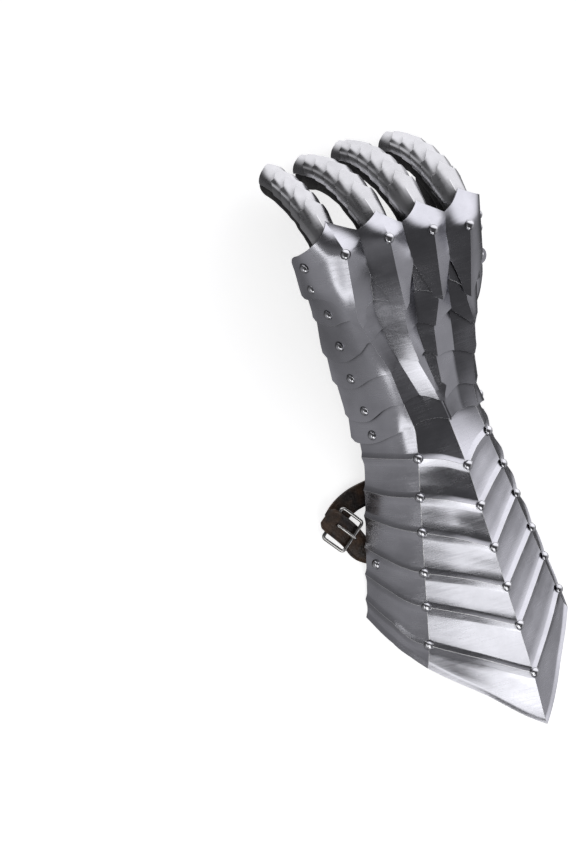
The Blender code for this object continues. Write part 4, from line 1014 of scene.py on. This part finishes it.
# ------------------------------------------------------------------ straps
def strap_piece(name, table, width, thick, node, holes=()):
    """Leather strap along a smooth line through its table, with rounded edges and two sewn lines."""
    pts = [Vector(r[:3]) for r in table]
    dirs = [Vector(r[3]).normalized() for r in table]
    shares = [r[4] if len(r) > 4 else 1.0 for r in table]
    per_span = 6 if FINE else 2
    line = []
    for i in range(len(pts) - 1):
        p0, p1, p2, p3 = pts[max(i - 1, 0)], pts[i], pts[i + 1], pts[min(i + 2, len(pts) - 1)]
        for k in range(per_span + (1 if i == len(pts) - 2 else 0)):
            t = k / per_span
            p = 0.5 * ((2 * p1) + (p2 - p0) * t + (2 * p0 - 5 * p1 + 4 * p2 - p3) * t * t + (3 * p1 - p0 - 3 * p2 + p3) * t ** 3)
            line.append((p, dirs[i].lerp(dirs[i + 1], t), shares[i] + (shares[i + 1] - shares[i]) * t))
    w, h = width / 2, thick / 2
    profile = [(-w, -h * 0.45), (-w + 0.35, -h), (-w * 0.5, -h), (0, -h), (w * 0.5, -h), (w - 0.35, -h), (w, -h * 0.45), (w, h * 0.45), (w - 0.35, h),
               (w - 1.5, h), (w - 1.9, h - 0.22), (w - 2.3, h), (w * 0.4, h + 0.12), (0, h + 0.16), (-w * 0.4, h + 0.12),
               (-w + 2.3, h), (-w + 1.9, h - 0.22), (-w + 1.5, h), (-w + 0.35, h), (-w, h * 0.45)]
    bm = bmesh.new()
    rings = []
    for i, (p, d, share) in enumerate(line):
        a, b = line[max(i - 1, 0)][0], line[min(i + 1, len(line) - 1)][0]
        fwd = (b - a).normalized()
        cross = (d - fwd * d.dot(fwd)).normalized()
        nrm = cross.cross(fwd)
        if nrm.length < 0.5:
            nrm = Vector((0, 0, 1))
        rings.append([p + cross * (x * share) + nrm * z for x, z in profile])
    add_loft(bm, rings)
    bmesh.ops.recalc_face_normals(bm, faces=bm.faces)
    mesh = bpy.data.meshes.new(name)
    bm.to_mesh(mesh)
    bm.free()
    mesh.shade_smooth()
    mesh.set_sharp_from_angle(angle=radians(48))
    return piece(name, mesh, strap_look, "strap_leather", node)


strap_piece("strap_tongue_leather", TONGUE, STRAP_W, STRAP_T, "strap_tongue")
strap_piece("strap_carrier_leather", CARRIER, STRAP_W, STRAP_T, "strap_carrier")

# ------------------------------------------------------------------ buckle
def wire_piece(name, points, radius, cyclic, look, slot, *nodes, taper=None):
    """Round wire along a line of points, as a mesh."""
    bm = bmesh.new()
    n = len(points)
    around = 16 if FINE else 8
    rings = []
    ref = Vector((0.13, 0.21, 0.97))
    for i, p in enumerate(points):
        a = points[(i - 1) % n] if cyclic else points[max(i - 1, 0)]
        b = points[(i + 1) % n] if cyclic else points[min(i + 1, n - 1)]
        fwd = (b - a).normalized()
        side = fwd.cross(ref).normalized()
        up = side.cross(fwd)
        r = radius * (taper[i] if taper else 1.0)
        rings.append([p + side * (r * cos(2 * pi * k / around)) + up * (r * sin(2 * pi * k / around)) for k in range(around)])
    if cyclic:
        rings.append(rings[0])
    add_loft(bm, rings, cap=not cyclic)
    bmesh.ops.remove_doubles(bm, verts=bm.verts, dist=0.000001)
    bmesh.ops.recalc_face_normals(bm, faces=bm.faces)
    mesh = bpy.data.meshes.new(name)
    bm.to_mesh(mesh)
    bm.free()
    mesh.shade_smooth()
    return piece(name, mesh, look, slot, *nodes)


corners = []
for cx, cy, a0 in ((hl - rc, hs - rc, 0), (-hl + rc, hs - rc, 90), (-hl + rc, -hs + rc, 180), (hl - rc, -hs + rc, 270)):
    for k in range(7):
        a = radians(a0 + 15 * k)
        corners.append((cx + rc * cos(a), cy + rc * sin(a)))
wire_piece("buckle_frame_wire", [buckle_point(l, s) for l, s in corners], WIRE, True, nickel_look, "buckle_nickel", "buckle_frame")
prong = [(-6.9, 3.7), (-6.4, 4.5), (-4, 4.65), (0, 4.3), (3, 3.95), (6, 3.4), (8.4, 2.75), (9.8, 2.45)]
wire_piece("buckle_prong_wire", [buckle_point(0, s, h) for s, h in prong], 0.9, False, nickel_look, "buckle_nickel", "buckle_prong",
           taper=[0.9, 1.0, 1.0, 1.0, 0.98, 0.94, 0.88, 0.7])


# ------------------------------------------------------------------ thumb hinge
def leaf_piece(name, node, root, down, axis, nrm, length, width, thick, barrels):
    outline = [(-width / 2, 2.6)]
    for centre, long in sorted(barrels):
        a, b = max(centre - long / 2, -width / 2 + 0.05), min(centre + long / 2, width / 2 - 0.05)
        outline += [(a, 2.6), (a, 0.8), (b, 0.8), (b, 2.6)]
    outline.append((width / 2, 2.6))
    for k in range(17):
        a = pi * k / 16
        outline.append((width / 2 * cos(a), length - width / 2 + width / 2 * sin(a)))
    n = len(outline)
    basis = Matrix((axis, down, nrm)).transposed()
    bm = bmesh.new()
    low = [bm.verts.new((root + basis @ Vector((x, y, -thick / 2))) * MM) for x, y in outline]
    top = [bm.verts.new((root + basis @ Vector((x, y, thick / 2))) * MM) for x, y in outline]
    bm.faces.new(low[::-1])
    bm.faces.new(top)
    for k in range(n):
        bm.faces.new((low[k], low[(k + 1) % n], top[(k + 1) % n], top[k]))
    turn = axis.to_track_quat("Z", "X").to_matrix()
    for centre, long in barrels:
        around = 24
        rings = []
        for h, r in ((-long / 2, 1.3), (-long / 2, 2.0), (-long / 2 + 0.2, 2.1), (long / 2 - 0.2, 2.1), (long / 2, 2.0), (long / 2, 1.3)):
            rings.append([root + axis * (centre + h) + turn @ Vector((r * cos(2 * pi * i / around), r * sin(2 * pi * i / around), 0)) for i in range(around)])
        rings.append(rings[0])
        add_loft(bm, rings, cap=False)
    bmesh.ops.recalc_face_normals(bm, faces=bm.faces)
    mesh = bpy.data.meshes.new(name)
    bm.to_mesh(mesh)
    bm.free()
    mesh.shade_smooth()
    mesh.set_sharp_from_angle(angle=radians(32))
    ob = piece(name, mesh, plate_look, "plate_steel", node)
    edge = ob.modifiers.new("bevelled_edges", "BEVEL")
    edge.width = 0.2 * MM
    edge.segments = 2
    edge.limit_method = "ANGLE"
    edge.angle_limit = radians(40)
    spot = root + down * (length - width / 2) + nrm * (thick / 2)
    domes(name + "_rivet", [(spot, nrm)], 2.7, 2.1, rivet_look, "plate_steel", flange=0.25)
    return ob


a, b = radians(HAND_LEAF_LEAN), radians(THUMB_LEAF_DROP)
for node, along, axis, length, barrels in (
        ("hinge_leaf_hand", Vector((-sin(a), 0, cos(a))), PIN_AXIS, 18.5, [(0, 4.0)]),
        ("hinge_leaf_thumb", Vector((cos(b), 0, -sin(b))), -PIN_AXIS, 18.0, [(-3.8, 3.0), (3.8, 3.0)])):
    along = (along - axis * along.dot(axis)).normalized()
    leaf_piece(node + "_plate", node, PIN, along, axis, axis.cross(along), length, HINGE_W, HINGE_T, barrels)
pin = [(-5.6, 0.7), (-5.4, 1.0), (0, 1.0), (5.4, 1.0), (5.6, 0.7)]
wire_piece("hinge_pin_rod", [PIN + PIN_AXIS * h for h, r in pin], 1.0, False, rivet_look, "plate_steel", "hinge_pin", taper=[r for h, r in pin])

# ------------------------------------------------------------------ floor, light and camera
def world_of(p):
    return STAND @ (Vector(p) * MM)


floor_mesh = bpy.data.meshes.new("studio_floor")
floor_mesh.from_pydata([(-6, -6, 0), (6, -6, 0), (6, 6, 0), (-6, 6, 0)], [], [(0, 1, 2, 3)])
floor = bpy.data.objects.new("studio_floor", floor_mesh)
looks.objects.link(floor)
floor_look, fb = principled("studio_paper", (0.80, 0.80, 0.80), 0.7, 0.0)
fb.inputs["Specular IOR Level"].default_value = 0.2
fb.inputs["Emission Color"].default_value = (1.0, 1.0, 1.0, 1)
fb.inputs["Emission Strength"].default_value = 0.74
floor_mesh.materials.append(floor_look)
floor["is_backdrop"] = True
# the dim room, not the white paper, shows in the polished steel
floor.visible_glossy = False

world = bpy.data.worlds.new("studio")
bpy.context.scene.world = world
world.use_nodes = True
wt = world.node_tree
back = wt.nodes["Background"]
coord = wt.nodes.new("ShaderNodeTexCoord")
flip = wt.nodes.new("ShaderNodeVectorMath")
flip.operation = "NORMALIZE"
wt.links.new(coord.outputs["Generated"], flip.inputs[0])


def blob(direction, cos_in, cos_out, value):
    """Soft round light in the surroundings: full inside one angle, nothing outside another."""
    dot = wt.nodes.new("ShaderNodeVectorMath")
    dot.operation = "DOT_PRODUCT"
    dot.inputs[1].default_value = Vector(direction).normalized()
    wt.links.new(flip.outputs[0], dot.inputs[0])
    ramp = wt.nodes.new("ShaderNodeMapRange")
    ramp.interpolation_type = "SMOOTHSTEP"
    ramp.inputs["From Min"].default_value = cos_out
    ramp.inputs["From Max"].default_value = cos_in
    ramp.inputs["To Min"].default_value = 0.0
    ramp.inputs["To Max"].default_value = value
    wt.links.new(dot.outputs["Value"], ramp.inputs["Value"])
    return ramp.outputs["Result"]


def plus(a, b):
    n = wt.nodes.new("ShaderNodeMath")
    n.operation = "ADD"
    wt.links.new(a, n.inputs[0])
    if isinstance(b, float):
        n.inputs[1].default_value = b
    else:
        wt.links.new(b, n.inputs[1])
    return n.outputs[0]


def own(direction):
    return Matrix.Rotation(TILT, 3, "X") @ Vector(direction).normalized()


# surroundings in the gauntlet's own frame: a broad pale wall in front of the fingers, a greyer one behind the
# thumb side, and a dim room elsewhere
SOFT_BOXES = [((0.62, 0.78, 0.0), 38, 70, 1.35),
              ((0.80, -0.50, 0.25), 16, 46, 0.32),
              ((-0.62, -0.60, -0.30), 14, 52, 0.14),
              ((-1.00, -0.05, 0.00), 18, 55, 0.14)]
parts_of_light = []
for k, (direction, inside, outside, value) in enumerate(SOFT_BOXES):
    out = blob(own(direction), cos(radians(inside)), cos(radians(outside)), value)
    parts_of_light.append(out)
level = plus(parts_of_light[0], 0.065)
for out in parts_of_light[1:]:
    level = plus(level, out)
wt.links.new(level, back.inputs["Strength"])
back.inputs["Color"].default_value = (0.975, 0.97, 1.0, 1)


def soft_box(name, centre, aim, wide, long, radiance):
    """Rectangular soft box at a place over the gauntlet, in its own frame and in mm."""
    data = bpy.data.lights.new(name, "AREA")
    data.shape = "RECTANGLE"
    data.size, data.size_y = wide * MM, long * MM
    data.energy = radiance * pi * wide * long * MM * MM
    ob = bpy.data.objects.new(name, data)
    looks.objects.link(ob)
    ob.location = world_of(centre)
    ob.rotation_euler = (world_of(centre) - world_of(aim)).to_track_quat("Z", "Y").to_euler()
    ob.visible_camera = False
    return ob


soft_box("box_over_cuff", (-112, -190, 215), (-48, -130, 60), 165, 130, 1.4)
soft_box("box_elbow", (-110, -393, 262), (-30, -120, 60), 240, 190, 1.3)
soft_box("strip_side", (-315, -99, 150), (-60, 0, 50), 300, 70, 1.5)

scene = bpy.context.scene
scene.view_settings.view_transform = "Standard"

# camera as in the photograph, turned so that the gauntlet fills the picture
az, ay, roll = radians(-26.2), radians(19.2), radians(12.9)
look_at = Vector((0, -60, 60))
d = Vector((sin(az) * cos(ay), sin(ay), cos(az) * cos(ay)))
u0 = (Vector((0, 1, 0)) - d * d.y).normalized()
r0 = u0.cross(d)
right = r0 * cos(roll) - u0 * sin(roll)
up = r0 * sin(roll) + u0 * cos(roll)
eye = look_at + d * 1500.0
axis = (-d - right * 0.0744 + up * 0.01467).normalized()
up = (up - axis * up.dot(axis)).normalized()
right = axis.cross(up)
turn = Matrix.Rotation(TILT, 3, "X") @ Matrix((right, up, -axis)).transposed()
cam_data = bpy.data.cameras.new("camera")
cam_data.sensor_fit = "VERTICAL"
cam_data.sensor_height = 36
cam_data.sensor_width = 36
cam_data.lens = 100
cam = bpy.data.objects.new("camera", cam_data)
looks.objects.link(cam)
cam.matrix_world = Matrix.Translation(world_of(eye)) @ turn.to_4x4()
scene.camera = cam

low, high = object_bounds()
